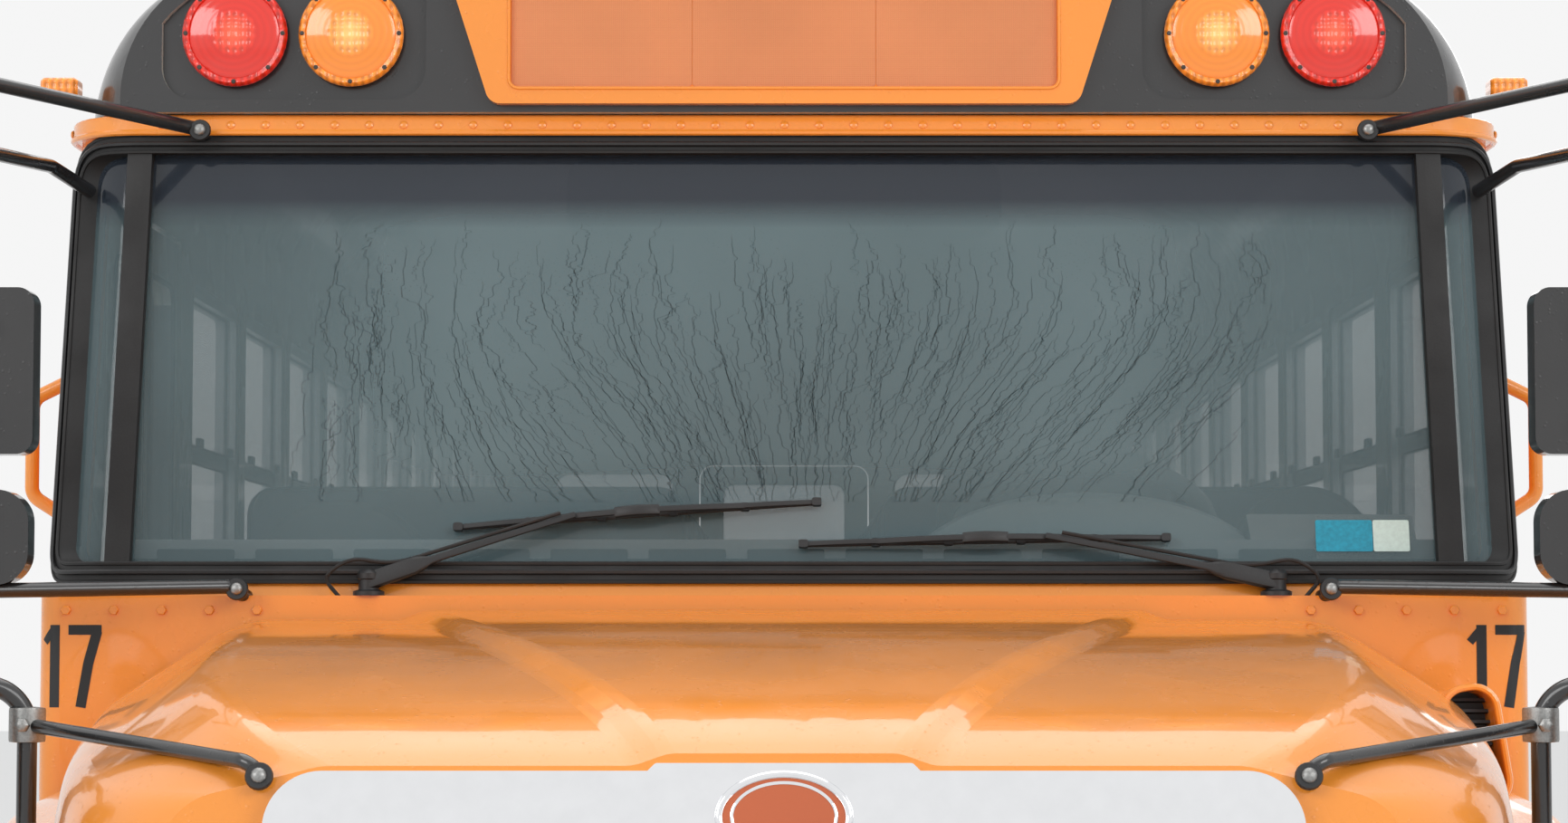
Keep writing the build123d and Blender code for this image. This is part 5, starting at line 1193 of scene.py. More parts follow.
# %% Mirror glass and clamps
MIRROR_X = 1.280
MIRROR_Y = at(1.27)
glass_parts, gaskets, clamps = [], [], []
for side in (-1, 1):
    for height, width, tall, corner, back, bulge in ((2.128, 0.164, 0.236, 0.018, 0.0635, 0.0),
                                                     (1.865, 0.150, 0.120, 0.040, 0.0590, 0.006)):
        outline = rounded_rectangle(width, tall, corner, 7)
        shrink = np.linspace(1, 0, 9)[:, None, None]
        rings = np.concatenate([outline[None] * shrink,
                                0.0015 + bulge * (1 - shrink**2) + 0 * outline[None, :, :1]], 2)
        place = (side * MIRROR_X, MIRROR_Y + back, height)
        glass_parts.append((placed(rings.reshape(-1, 3), place, REARWARD),
                            grid_faces(9, len(outline), False, True)))
        edge = lifted(rounded_rectangle(width + 0.006, tall + 0.006, corner + 0.003, 7))
        gaskets.append(bead(placed(edge, (place[0], place[1] + 0.001, height), REARWARD), 0.0045, REARWARD))
    for z in (2.205, 2.050, 1.905, 1.825):
        yoke = rounded_plate(0.058, 0.030, 0.008, 4, 0.007, 0.002)
        clamps.append(set_at(yoke, (side * 1.285, MIRROR_Y - 0.012, z), FORWARD))
        bolts = turned([(0.0075, -0.002), (0.0075, 0.005), (0.0060, 0.007), (0.0, 0.0075)], 6)
        spots = [(side * 1.285 + dx, MIRROR_Y - 0.0185, z) for dx in (-0.020, 0.020)]
        clamps.append(copies(bolts, spots, FORWARD))
piece("mirror_glass", glass_parts, mirror_face)
piece("mirror_gaskets", gaskets, rubber)
piece("mirror_clamps", clamps, black_satin)
print("mirror glass:", made["mirror_glass"], "faces")

# %% [markdown]
# On the fenders the egg-shaped heads carry a chromed bowl. It is the head's own ellipsoid a little larger,
# seen only within a cone of directions about its rear face, with a rubber lip where the cone ends.

# %% Mirrors on the fenders
t, u = np.meshgrid(np.linspace(0, math.radians(74), 18), round_circle(36), indexing="ij")
bowl = np.stack([np.sin(t) * np.cos(u) * 0.1158, np.cos(t) * 0.0862, np.sin(t) * np.sin(u) * 0.1658],
                -1).reshape(-1, 3)
lip_t = round_circle(40)
k = math.radians(75)
lip = np.column_stack([math.sin(k) * np.cos(lip_t) * 0.1150, 0 * lip_t + math.cos(k) * 0.0870,
                       math.sin(k) * np.sin(lip_t) * 0.1650])
heads = [(s * 1.255, at(0.56), 1.560) for s in (-1, 1)]
piece("crossview_bowls", [(bowl + h, grid_faces(18, 36, False, True)) for h in heads], mirror_face,
      "hood_assembly")
piece("crossview_lips", [bead(lip + h, 0.0045, REARWARD) for h in heads], rubber, "hood_assembly")
print("bowls:", made["crossview_bowls"], "faces")

# %% Mirror fixings
claw = turned([(0.012, -0.0250), (0.0250, -0.0235), (0.0256, -0.0200), (0.0256, 0.0200), (0.0250, 0.0235),
               (0.012, 0.0250)], 20)
collar = turned([(0.013, -0.030), (0.0185, -0.026), (0.0185, 0.026), (0.013, 0.030)], 16)
knob = turned([(0.010, 0), (0.010, 0.012), (0.006, 0.015), (0.0, 0.0155)], 6)
eye = turned([(0.0, -0.006), (0.017, -0.006), (0.0185, -0.002), (0.0185, 0.002), (0.017, 0.005),
              (0.0, 0.005)], 20)
round_head = turned([(0.0105, 0.004), (0.0100, 0.008), (0.0070, 0.0110), (0.0, 0.0120)], 14)
fixings = []
POST_X = 1.055
for s in (-1, 1):
    fixings.append(copies(claw, [(s * POST_X, at(0.64), 1.585)], *UPRIGHT))
    fixings.append(copies(collar, [(s * POST_X, at(0.64), 1.42)], *UPRIGHT))
    fixings.append(copies(knob, [(s * POST_X, at(0.613), 1.585), (s * POST_X, at(0.622), 1.42)], FORWARD))
brace_ends = [(s * 0.678, at(0.276), 1.527) for s in (-1, 1)]
arm_ends = [(s * x, at(st), z) for s in (-1, 1)
            for x, st, z in ((0.888, 1.474, 1.786), (0.990, 1.688, 2.566))]
fixings.append(copies(round_head, np.array(brace_ends) + (0, -0.007, 0), (0, -1, 0.3)))
piece("crossview_fixings", fixings, steel, "hood_assembly")
piece("crossview_eyes", copies(eye, np.array(brace_ends) + (0, -0.007, 0), (0, -1, 0.3)), black_satin,
      "hood_assembly")
piece("mirror_arm_eyes", copies(eye, np.array(arm_ends) + (0, -0.010, 0), (0, -1, 0.1)), black_satin)
piece("mirror_arm_bolts", copies(round_head, np.array(arm_ends) + (0, -0.010, 0), (0, -1, 0.1)), steel)
print("mirror fixings:", made["crossview_fixings"] + made["mirror_arm_bolts"], "faces")

# %% [markdown]
# ## Headlamps
# A lamp unit is a shallow tray: a bright surround, two reflector bowls with a bulb cap in each, and a clear
# lens that bulges a little over both. The bowls are paraboloids, depth = r squared over four focal lengths.
# All of it sits on the bonnet's leaning front, so heights here run along that face.

# %% On the bonnet's nose
LEAN = math.atan(0.16)
NOSE_FOOT = np.array([0, at(0.215) - 1.1 * 0.16, 0])
NOSE_UP = np.array([0, math.sin(LEAN), math.cos(LEAN)])
NOSE_OUT = np.array([0, -math.cos(LEAN), math.sin(LEAN)])


def on_nose(shape, x=0.0, height=0.0, off=0.0):
    """A shape drawn flat, with Z outwards, carried to the nose: across, up its face and out from it."""
    points, faces = shape
    moved = (NOSE_FOOT + (points[:, :1] + x) * SIDEWAYS + (points[:, 1:2] + height) * NOSE_UP
             + (points[:, 2:3] + off) * NOSE_OUT)
    return moved, faces


print("the bonnet's nose leans by", round(math.degrees(LEAN), 1), "degrees")

# %% Headlamp units
surrounds, trays, bowls, caps, covers = [], [], [], [], []
for s in (-1, 1):
    lamp_middle = (s * 0.8, 1.010)
    outline = rounded_rectangle(0.326, 0.206, 0.048, 8)
    inner = rounded_rectangle(0.296, 0.176, 0.036, 8)
    rows = [lifted(outline, h) for h in (0.0, 0.021, 0.026)]
    rows += [lifted(outline * 0.985, 0.0275), lifted(inner, 0.0245), lifted(inner, 0.006)]
    surrounds.append(on_nose((np.vstack(rows), grid_faces(6, 32, False, True)), *lamp_middle))
    floor_rows = np.vstack([lifted(inner, 0.006), np.zeros((32, 3)) + (0, 0, 0.006)])
    trays.append(on_nose((floor_rows, grid_faces(2, 32, False, True)), *lamp_middle))
    for dx in (-0.073, 0.073):
        r = np.linspace(0.068, 0.012, 10)
        dish = turned(np.column_stack([r, 0.0065 + 0.013 * (r / 0.068)**2]), 32)
        bowls.append(on_nose(dish, lamp_middle[0] + dx, lamp_middle[1]))
        bulb = turned([(0.0135, 0.0065), (0.0135, 0.014), (0.0105, 0.0175), (0.0, 0.0185)], 20)
        caps.append(on_nose(bulb, lamp_middle[0] + dx, lamp_middle[1]))
    fade = np.linspace(1, 0, 10)[:, None, None]
    shell = np.concatenate([inner[None] * fade * 0.997,
                            0.0245 + 0.005 * (1 - fade**4) + 0 * inner[None, :, :1]], 2)
    covers.append(on_nose((shell.reshape(-1, 3), grid_faces(10, 32, False, True)), *lamp_middle))
lamp_glass = Finish("headlamp_glass", srgb(232, 236, 238), 0.03)
flutes = lamp_glass.math("SINE", lamp_glass.math("MULTIPLY", lamp_glass.part(0), 700.0))
lamp_glass.set(Alpha=0.22, IOR=1.5).rough(lamp_glass.noise(3), 0.02, 0.05).bump(flutes, 0.0003)
headlamp_covers = piece("headlamp_covers", covers, lamp_glass.material, "hood_assembly")
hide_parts("headlamps")
piece("headlamp_surrounds", surrounds, chrome, "hood_assembly")
piece("headlamp_trays", trays, black_satin, "hood_assembly")
piece("headlamp_bowls", bowls, mirror_face, "hood_assembly")
piece("headlamp_bulbs", caps, clear_lens, "hood_assembly")
print("headlamps:", made["headlamp_covers"] + made["headlamp_bowls"], "faces")

# %% [markdown]
# ## Behind the grille
# Through the bars shows a dark woven screen. It is two sets of thin wires at right angles, each one bar of
# four faces repeated across.

# %% Insect screen
wire = carried(ring(0.0011, 4), [(0, -0.5, 0), (0, 0.5, 0)], up=UPWARD)
across = np.arange(-0.60, 0.601, 0.0125)
screen_parts = []
for x in across:
    screen_parts.append(on_nose((wire[0] * (1, 0.50, 1), wire[1]), x, 1.190, -0.022))
for h in np.arange(0.94, 1.441, 0.0125):
    screen_parts.append(on_nose((wire[0][:, [1, 0, 2]] * (1.22, 1, 1), wire[1]), 0.0, h, -0.0242))
piece("grille_screen", screen_parts, black_satin, "hood_assembly")
print("grille screen:", made["grille_screen"], "faces")

# %% [markdown]
# ## A plain badge
# The badge stays plain: two chrome rims round an enamelled oval, with nothing drawn on it. The field is the
# same oval shrunk to its middle and raised a little, as poured enamel is.

# %% Plain badge
angle = round_circle(72)
oval = np.column_stack([np.cos(angle) * 0.084, np.sin(angle) * 0.055, 0 * angle])
BADGE = (0.0, 1.4895)
rim = bead(oval + (0, 0, 0.0325), 0.0055, UPWARD, sides=10)
inner_rim = bead(oval * 0.80 + (0, 0, 0.0335), 0.0028, UPWARD)
shrink = np.linspace(0.97, 0, 8)[:, None, None]
field = (oval[None] * shrink + (0, 0, 0.0335)) + np.array([0, 0, 0.003]) * (1 - shrink**2)
piece("badge_rims", [on_nose(rim, *BADGE), on_nose(inner_rim, *BADGE)], chrome, "hood_assembly")
badge_enamel = enamel("badge_enamel", srgb(196, 92, 44), 0.2, beads=False)
piece("badge_field", on_nose((field.reshape(-1, 3), grid_faces(8, 72, False, True)), *BADGE), badge_enamel,
      "hood_assembly")
print("badge:", made["badge_rims"] + made["badge_field"], "faces")

# %% [markdown]
# ## The scoop
# The air scoop on the bonnet's shoulder has a rolled lip and a dark slatted screen inside its mouth. One
# slat is made and placed nine times.

# %% Scoop screen and lip
SCOOP_TURN = 0.157
scoop = rounded_plate(0.072, 0.166, 0.030, 6, 0.003, 0.0008)
slat = rounded_plate(0.070, 0.005, 0.0024, 3, 0.012, 0.001)
inside = [set_at(scoop, (1.066, at(1.245), 1.540), FORWARD)]
inside += [set_at(slat, (1.066, at(1.235), 1.540 + h), (0, -1, 0.25))
           for h in np.linspace(-0.068, 0.068, 9)]
piece("scoop_screen", inside, black_satin, "hood_assembly")
mouth_line = lifted(rounded_rectangle(0.084, 0.182, 0.036, 8)) @ spin(-SCOOP_TURN)
piece("scoop_lip", bead(placed(mouth_line, (1.069, at(1.1885), 1.540), FORWARD), 0.0055, REARWARD),
      yellow_part, "hood_assembly")
print("scoop:", made["scoop_screen"] + made["scoop_lip"], "faces")

# %% [markdown]
# ## Latches and screws on the bonnet and cowl
# Rubber latches hold the bonnet down. The bracket with its hook rides with the bonnet, and the strap and its
# handle stay with the cowl. Screws close the cowl's top seam.

# %% Bonnet latches
catches, straps = [], []
LATCH_Z = 1.12
foot = rounded_plate(0.06, 0.075, 0.012, 4, 0.006, 0.002)
handle = rounded_plate(0.024, 0.092, 0.011, 5, 0.016, 0.005)
anchor = rounded_plate(0.05, 0.07, 0.01, 4, 0.010, 0.003)
for s in (-1, 1):
    catches.append(set_at(foot, (s * 1.212, at(1.425), LATCH_Z), (s, 0, 0)))
    hook = [(s * x, at(st), LATCH_Z)
            for x, st in ((1.216, 1.445), (1.236, 1.445), (1.240, 1.425), (1.226, 1.41))]
    catches.append(carried(FLAT_BAR, bend(hook, 0.01), up=UPWARD, sizes=(0.004, 0.034)))
    strap = [(s * x, at(st), LATCH_Z)
             for x, st in ((1.226, 1.535), (1.238, 1.50), (1.2445, 1.46), (1.242, 1.405))]
    straps.append(carried(FLAT_BAR, bend(strap, 0.03), up=UPWARD, sizes=(0.009, 0.030)))
    straps.append(set_at(handle, (s * 1.232, at(1.40), LATCH_Z), (s, 0, 0)))
    straps.append(set_at(anchor, (s * 1.2195, at(1.535), LATCH_Z), (s, 0, 0)))
piece("bonnet_catches", catches, steel, "hood_assembly")
piece("bonnet_straps", straps, rubber)
print("latches:", made["bonnet_catches"] + made["bonnet_straps"], "faces")

# %% Cowl screws
HEX_HEAD = turned([(0.0085, -0.002), (0.0085, 0.0045), (0.0072, 0.0062), (0.0, 0.0065)], 6)
seam_x = np.concatenate([np.arange(0.86, 1.18, 0.078), -np.arange(0.86, 1.18, 0.078)])
seam = np.column_stack([seam_x, 0 * seam_x + at(1.5), 0 * seam_x + 1.752])
flank = np.array([(s * HALF_BODY, at(st), 1.752) for s in (-1, 1) for st in (1.60, 1.70, 1.80)])
cowl_places = np.vstack([seam, flank])
cowl_normals = np.vstack([np.tile((0.0, -1.0, 0.0), (len(seam), 1)), np.sign(flank[:, :1]) * SIDEWAYS])
piece("cowl_screws", copies(HEX_HEAD, cowl_places, cowl_normals), yellow_part)
print("cowl screws:", made["cowl_screws"], "faces")

# %% [markdown]
# ## Wheels and tyres
# A tyre is one grid: rows go round the wheel and columns go across from bead to bead. Its radius is the
# height of the section there, less the depth of the tread wherever a groove or a cut across runs. Rows are
# packed close on both sides of each cut, so that a few thousand faces give crisp blocks. The main grooves
# sway from side to side by a triangle wave, as a drive tyre's do. The hub caps, bolts and washers are
# turned shapes repeated on circles, and each valve is a thin bent tube.

# %% Tyre treads
AXLE_Z = 0.525
BLOCKS = 64


def tyre(middle_x, axle_y, lugs):
    """Columns carry (across, radius, kind), and rows an angle and a cut; the deeper of the two holds."""
    flank = [(0.100, 0.288, 0), (0.116, 0.292, 0), (0.122, 0.302, 0), (0.1275, 0.325, 0),
             (0.1300, 0.330, 0), (0.1335, 0.352, 0), (0.1385, 0.385, 0), (0.1395, 0.410, 0),
             (0.1375, 0.440, 0), (0.1385, 0.444, 0), (0.1350, 0.468, 0), (0.1315, 0.490, 0),
             (0.1300, 0.506, 0.4), (0.1240, 0.5165, 1.0)]
    crown = [(0.112, 0.5205, 1), (0.096, 0.5228, 1), (0.0815, 0.5236, 1), (0.0790, 0.5237, 3),
             (0.0715, 0.524, 3), (0.0690, 0.5241, 1), (0.050, 0.5246, 1), (0.0325, 0.5248, 1),
             (0.0300, 0.5248, 3), (0.0225, 0.5249, 3), (0.0200, 0.5249, 1), (0.0, 0.525, 1)]
    half = np.array(flank + crown)
    across = np.vstack([half * (-1, 1, 1), half[::-1][1:]])
    share = np.array([0.0, 0.11, 0.14, 0.54, 0.97])
    cut = np.tile([1.0, 1.0, 0.0, 0.0, 0.0], BLOCKS)
    turn = ((np.arange(BLOCKS)[:, None] + share) / BLOCKS * 2 * math.pi).ravel()
    sway = 0.0035 * np.tile([1.0, 0.7, 0.6, -1.0, 0.9], BLOCKS)
    x, r, kind = (column[None] + 0 * turn[:, None] for column in across.T)
    tread = (kind >= 1).astype(float)
    groove = (kind >= 3) * 0.0105
    side_block = (np.abs(x) > 0.079) * (kind >= 0.4)
    cross_cut = cut[:, None] * np.where(side_block > 0, 0.0095 * np.minimum(kind, 1), 0.0055 * tread * lugs)
    r = r - np.maximum(groove, cross_cut) - 0.0001
    x = x + sway[:, None] * tread * (np.abs(x) < 0.1)
    y, z = r * np.cos(turn[:, None]), r * np.sin(turn[:, None])
    points = np.stack([middle_x + x, axle_y + y, AXLE_Z + z], -1).reshape(-1, 3)
    return points, grid_faces(len(turn), len(across), wrap_rows=True)


print("rows round a tyre:", 5 * BLOCKS)

# %% Tyre sets
tyre_sets = [("front_tyre_left", 1, FRONT_AXLE, (1.0,), 0.4, "wheel_front_left"),
             ("front_tyre_right", -1, FRONT_AXLE, (1.0,), 0.4, "wheel_front_right"),
             ("rear_tyres_left", 1, REAR_AXLE, (1.065, 0.725), 1.0, "wheels_rear_left"),
             ("rear_tyres_right", -1, REAR_AXLE, (1.065, 0.725), 1.0, "wheels_rear_right")]
for name, side, axle_y, middles, lugs, body in tyre_sets:
    treaded = piece(f"{name}_treaded", [tyre(side * m, axle_y, lugs) for m in middles], tyre_rubber, body)
    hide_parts(name)
print("tyre faces:", made["front_tyre_left_treaded"], "each")

# %% Hub caps, bolts and valves
front_cap_shape = turned([(0.078, -0.004), (0.078, 0.006), (0.070, 0.014), (0.050, 0.022), (0.030, 0.025),
                          (0.0, 0.026)], 36)
rear_flange = turned([(0.083, -0.004), (0.083, 0.006), (0.050, 0.008), (0.046, 0.016), (0.020, 0.020),
                      (0.0, 0.020)], 36)
bolt = turned([(0.009, -0.002), (0.009, 0.007), (0.0075, 0.0085), (0.0, 0.009)], 6)
NUT_CIRCLE = 0.142875
washer = turned([(0.021, 0.0), (0.021, 0.003), (0.018, 0.0045)], 16)
for side, name in ((1, "left"), (-1, "right")):
    for axle_y, hub_x, disc_x, shape, body, count, circle in (
            (FRONT_AXLE, 1.115, 1.060, front_cap_shape, f"wheel_front_{name}", 6, 0.068),
            (REAR_AXLE, 1.025, 0.907, rear_flange, f"wheels_rear_{name}", 8, 0.066)):
        turn = round_circle(count)
        spots = np.column_stack([0 * turn + side * (hub_x + 0.006), axle_y + circle * np.cos(turn),
                                 AXLE_Z + circle * np.sin(turn)])
        parts = [set_at(shape, (side * hub_x, axle_y, AXLE_Z), (side, 0, 0))]
        parts.append(copies(bolt, spots, (side, 0, 0)))
        turn = round_circle(10)
        seats = np.column_stack([0 * turn + side * disc_x, axle_y + NUT_CIRCLE * np.cos(turn),
                                 AXLE_Z + NUT_CIRCLE * np.sin(turn)])
        parts.append(copies(washer, seats, (side, 0, 0)))
        piece(f"hub_{body}", parts, steel, body)
        stem = [(side * (disc_x - 0.035), axle_y + 0.235, AXLE_Z), (side * disc_x, axle_y + 0.225, AXLE_Z),
                (side * (disc_x + 0.03), axle_y + 0.215, AXLE_Z)]
        piece(f"valve_{body}", tube(stem, 0.0045, 0.02, 8), rubber, body)
wheel_black = enamel("wheel_black", srgb(36, 36, 37), 0.45, beads=False)
give(wheel_black, "front_wheel_left", "front_wheel_right", "rear_wheels_left", "rear_wheels_right")
print("hubs:", [name for name in made if name.startswith("hub_")])

# %% [markdown]
# ## Side windows and doors
# Glass is held in its frame by a rubber bead. Seen from outside it is a fine black line, and without it a
# window looks like a hole. One rounded rectangle in the plane of the wall is the path, and a small ring is
# carried along it; the same path, a little larger, is the gasket between frame and body. Each window has
# two spring latches.

# %% Window rubbers
def wall_loop(width, height, corner, steps=6):
    """A rounded rectangle drawn in the plane of a side wall: across is Y and up is Z."""
    flat = rounded_rectangle(width, height, corner, steps)
    return np.column_stack([0 * flat[:, 0], flat])


beads, seals, latches = [], [], []
window_list = [(y, 0.620, s) for y in WINDOW_MIDDLES for s in (-1, 1)] + [(at(2.29), 0.680, 1)]
latch = rounded_plate(0.052, 0.020, 0.006, 3, 0.010, 0.003)
for y, width, s in window_list:
    for low, high in ((1.771, 2.064), (2.096, 2.389)):
        path = wall_loop(width - 0.054, high - low - 0.002, 0.016, 4) + (s * 1.2005, y, (low + high) / 2)
        beads.append(bead(path, 0.0038, SIDEWAYS, sides=5))
    seals.append(bead(wall_loop(width + 0.003, 0.673, 0.0465, 5) + (s * 1.2212, y, 2.080), 0.0036, SIDEWAYS,
                      sides=5))
    places = [(s * 1.182, y + dy, 2.100) for dy in (-0.2, 0.2)]
    latches.append(copies(latch, places, (-s, 0, 0)))
piece("window_beads", beads, rubber)
piece("window_seals", seals, rubber)
piece("window_latches", latches, black_satin)
print("windows:", len(window_list))

# %% [markdown]
# The entrance door's two leaves have their panes in rubber on both faces, a soft lip where the leaves meet,
# a sweep below and a column of screws by the hinge. Both leaves come from one loop, with the side of the
# lip worked out from where the pivot is.

# %% Entrance door fittings
DOOR_X = -1.1975
for name, axis, edge, middle in (("front", 1.866, 2.225, 2.0535), ("rear", 2.594, 2.235, 2.4065)):
    body = f"door_{name}_leaf"
    rims = []
    for low, high in ((0.470, 1.280), (1.400, 2.380)):
        for face in (-0.0205, 0.0205):
            pane_middle = (DOOR_X + face, at(middle), (low + high) / 2)
            path = wall_loop(0.262, high - low + 0.004, 0.041, 6) + pane_middle
            rims.append(bead(path, 0.0060, SIDEWAYS, flat=0.7))
    toward = 1 if edge > axis else -1
    lip = carried(FLAT_BAR, [(DOOR_X, at(edge) + toward * 0.0012, 0.385),
                             (DOOR_X, at(edge) + toward * 0.0012, 2.458)], up=REARWARD, sizes=(0.034, 0.0030))
    foot = carried(FLAT_BAR, [(DOOR_X, at(axis) + toward * 0.03, 0.369),
                              (DOOR_X, at(edge) - toward * 0.005, 0.369)], up=UPWARD, sizes=(0.020, 0.006))
    piece(f"door_rubbers_{name}", [*rims, lip, foot], rubber, body)
    screws = [(DOOR_X - 0.0205, at(axis) + toward * 0.012, z) for z in np.arange(0.45, 2.43, 0.11)]
    piece(f"door_screws_{name}", copies(SMALL_RIVET, screws, (-1, 0, 0)), steel, body)
print("door rubbers:", made["door_rubbers_front"], "faces each")

# %% [markdown]
# Each step has a ribbed mat and a yellow nosing at its edge. The nosings stop short of both walls, because
# the leaves' lower pins turn there.

# %% Mats and nosings on the steps
steps_low, steps_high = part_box("entrance_steps")
PIN_ROOM = 0.024
mats, nosings = [], []
for i in range(3):
    x0, tread = steps_low.x + 0.24 * i, 0.36 + 0.20 * i
    size_y = steps_high.y - steps_low.y - 0.04
    centre_y = (steps_high.y + steps_low.y) / 2
    mat = rounded_plate(0.205, size_y, 0.006, 3, 0.004, 0.001)
    mats.append(set_at(mat, (x0 + 0.133, centre_y, tread), *UPRIGHT))
    nose = rounded_plate(0.028, size_y - 2 * PIN_ROOM, 0.004, 3, 0.005, 0.0015)
    nosings.append(set_at(nose, (x0 + 0.0145, centre_y, tread), *UPRIGHT))
piece("step_mats", mats, floor_rubber)
piece("step_nosings", nosings, yellow_part)
print("step pieces:", made["step_mats"] + made["step_nosings"], "faces")

# %% [markdown]
# ## The rear end
# The emergency door closes on a rubber seal, has a bead round each pane, and screwed plates under its
# handle and hinges. Beads are rings carried round rounded rectangles in the plane of the rear face.

# %% Rear door
def rear_loop(width, height, corner, x, z, out, steps=7):
    """A rounded rectangle drawn on the rear face: across is X and up is Z."""
    flat = rounded_rectangle(width, height, corner, steps)
    return np.column_stack([flat[:, 0] + x, 0 * flat[:, 0] + REAR_Y + out, flat[:, 1] + z])


door_rims = [bead(rear_loop(0.524, high - low + 0.004, 0.052, 0, (low + high) / 2, 0.001), 0.0058, REARWARD,
                  flat=0.7) for low, high in ((1.080, 1.480), (1.745, 2.370))]
piece("rear_door_rubbers", door_rims, rubber, "rear_door")
edge_seal = [bead(rear_loop(0.736, 1.466, 0.066, 0, 1.725, 0.0005), 0.0065, REARWARD, flat=0.6)]
edge_seal += [bead(rear_loop(0.504, 0.674, 0.062, s * 0.720, 2.080, 0.001), 0.0055, REARWARD, flat=0.7)
              for s in (-1, 1)]
piece("rear_body_rubbers", edge_seal, rubber)
handle_rose = rounded_plate(0.165, 0.062, 0.018, 5, 0.005, 0.002)
door_bits = [set_at(handle_rose, (0.265, REAR_Y, 1.601), REARWARD)]
door_bits += [copies(screw, [(0.265 + dx, REAR_Y + 0.005, 1.601 + dz) for dx in (-0.070, 0.070)
                             for dz in (-0.021, 0.021)], REARWARD)]
for z in (1.200, 1.725, 2.250):
    hinge_leaf = rounded_plate(0.050, 0.036, 0.006, 4, 0.004, 0.001)
    door_bits.append(set_at(hinge_leaf, (-0.3225, REAR_Y + 0.0115, z), REARWARD))
    door_bits.append(copies(screw, [(-0.3225 + dx, REAR_Y + 0.0150, z) for dx in (-0.014, 0.014)], REARWARD))
piece("rear_door_fittings", door_bits, steel, "rear_door")
print("rear door:", made["rear_door_rubbers"] + made["rear_door_fittings"], "faces")

# %% [markdown]
# ## The blank number plate
# Below the door is a blank number plate with a rolled edge, four bolts in its holes and a light over it.

# %% Blank number plate
blank_finish = Finish("blank_plate", srgb(214, 216, 214), 0.38)
blank_finish.shades(blank_finish.noise(18), 0.3, 0.7, 0.94, 1.03).rough(blank_finish.noise(30), 0.3, 0.48)
blank_finish.bump(blank_finish.noise(60, 2), 0.0003)
blank = rounded_plate(0.303, 0.152, 0.012, 5, 0.0018, 0.0006)
piece("number_plate_blank", set_at(blank, (0, REAR_Y + 0.0062, 0.860), REARWARD), blank_finish.material)
plate_edge = bead(rear_loop(0.307, 0.156, 0.014, 0, 0.860, 0.0075), 0.0028, REARWARD, sides=6)
plate_bolts = copies(bolt, [(dx, REAR_Y + 0.0075, 0.860 + dz) for dx in (-0.089, 0.089)
                            for dz in (-0.0605, 0.0605)], REARWARD)
hood_shape = rounded_plate(0.120, 0.030, 0.012, 5, 0.032, 0.006)
piece("plate_frame", [plate_edge, plate_bolts], steel)
piece("plate_light", set_at(hood_shape, (0, REAR_Y - 0.002, 0.965), REARWARD), black_satin)
print("number plate:", made["number_plate_blank"] + made["plate_frame"], "faces")

# %% [markdown]
# ## Bumper step, frame rails and reflectors
# A ribbed pad on the bumper is the step up to the emergency door. The frame rails leave the body through
# rubber boots and are capped. Round reflectors mark the corners and the middle of each side.

# %% Bumper step and frame rails
step_pad = rounded_plate(1.720, 0.044, 0.010, 4, 0.004, 0.0015)
ribs_along = np.arange(-0.84, 0.841, 0.020)
pad_rib = rounded_plate(0.007, 0.036, 0.002, 2, 0.0030, 0.001)
piece("bumper_step", [set_at(step_pad, (0, at(11.168), 0.700), *UPRIGHT),
                      copies(pad_rib, [(x, at(11.168), 0.704) for x in ribs_along], *UPRIGHT)], rubber)
RAIL_X = 0.392
boot = rounded_plate(0.118, 0.196, 0.012, 4, 0.004, 0.0015)
rail_cap = rounded_plate(0.086, 0.172, 0.006, 4, 0.047, 0.003)
piece("rail_boots", copies(boot, [(s * RAIL_X, REAR_Y, 0.790) for s in (-1, 1)], REARWARD), rubber)
piece("rail_caps", copies(rail_cap, [(s * RAIL_X, REAR_Y - 0.004, 0.788) for s in (-1, 1)], REARWARD),
      black_satin)
print("rail ends:", made["rail_boots"] + made["rail_caps"], "faces")

# %% Reflectors
reflector = turned([(0.0385, -0.002), (0.0385, 0.006), (0.0345, 0.0085), (0.0, 0.0090)], 28)
holder = turned([(0.0430, -0.002), (0.0430, 0.005), (0.0385, 0.0065)], 28)
amber_spots = [(s * HALF_BODY, at(st), z) for st, z in ((2.90, 0.800), (6.40, 1.140)) for s in (-1, 1)]
red_spots = [(s * HALF_BODY, at(10.55), 0.800) for s in (-1, 1)]
rear_spots = [(s * 0.820, REAR_Y, 0.860) for s in (-1, 1)]
side_out = [(np.sign(p[0]), 0, 0) for p in amber_spots]
# The amber and red lens finishes glow a little all over, so these reflectors glow though they are no lamps:
# painted light.
piece("amber_reflectors", copies(reflector, amber_spots, side_out), amber_lens)
piece("red_reflectors", [copies(reflector, red_spots, [(np.sign(p[0]), 0, 0) for p in red_spots]),
                         copies(reflector, rear_spots, REARWARD)], red_lens)
piece("reflector_rims", [copies(holder, amber_spots, side_out),
                         copies(holder, red_spots, [(np.sign(p[0]), 0, 0) for p in red_spots]),
                         copies(holder, rear_spots, REARWARD)], black_satin)
print("reflectors:", made["amber_reflectors"] + made["red_reflectors"], "faces")

# %% [markdown]
# ## Stop arm
# The folded stop arm is an octagon with a pale border and two lamps, and its face stays blank. The border
# is a flat ring between two octagons.

# %% The stop arm
def octagon(apothem):
    """Eight corners at 22.5 degrees and every 45 on: corner radius = apothem / cos(22.5 degrees)."""
    t = math.radians(22.5) + np.arange(8) * math.pi / 4
    return np.column_stack([np.cos(t), np.sin(t)]) * apothem / math.cos(math.pi / 8)


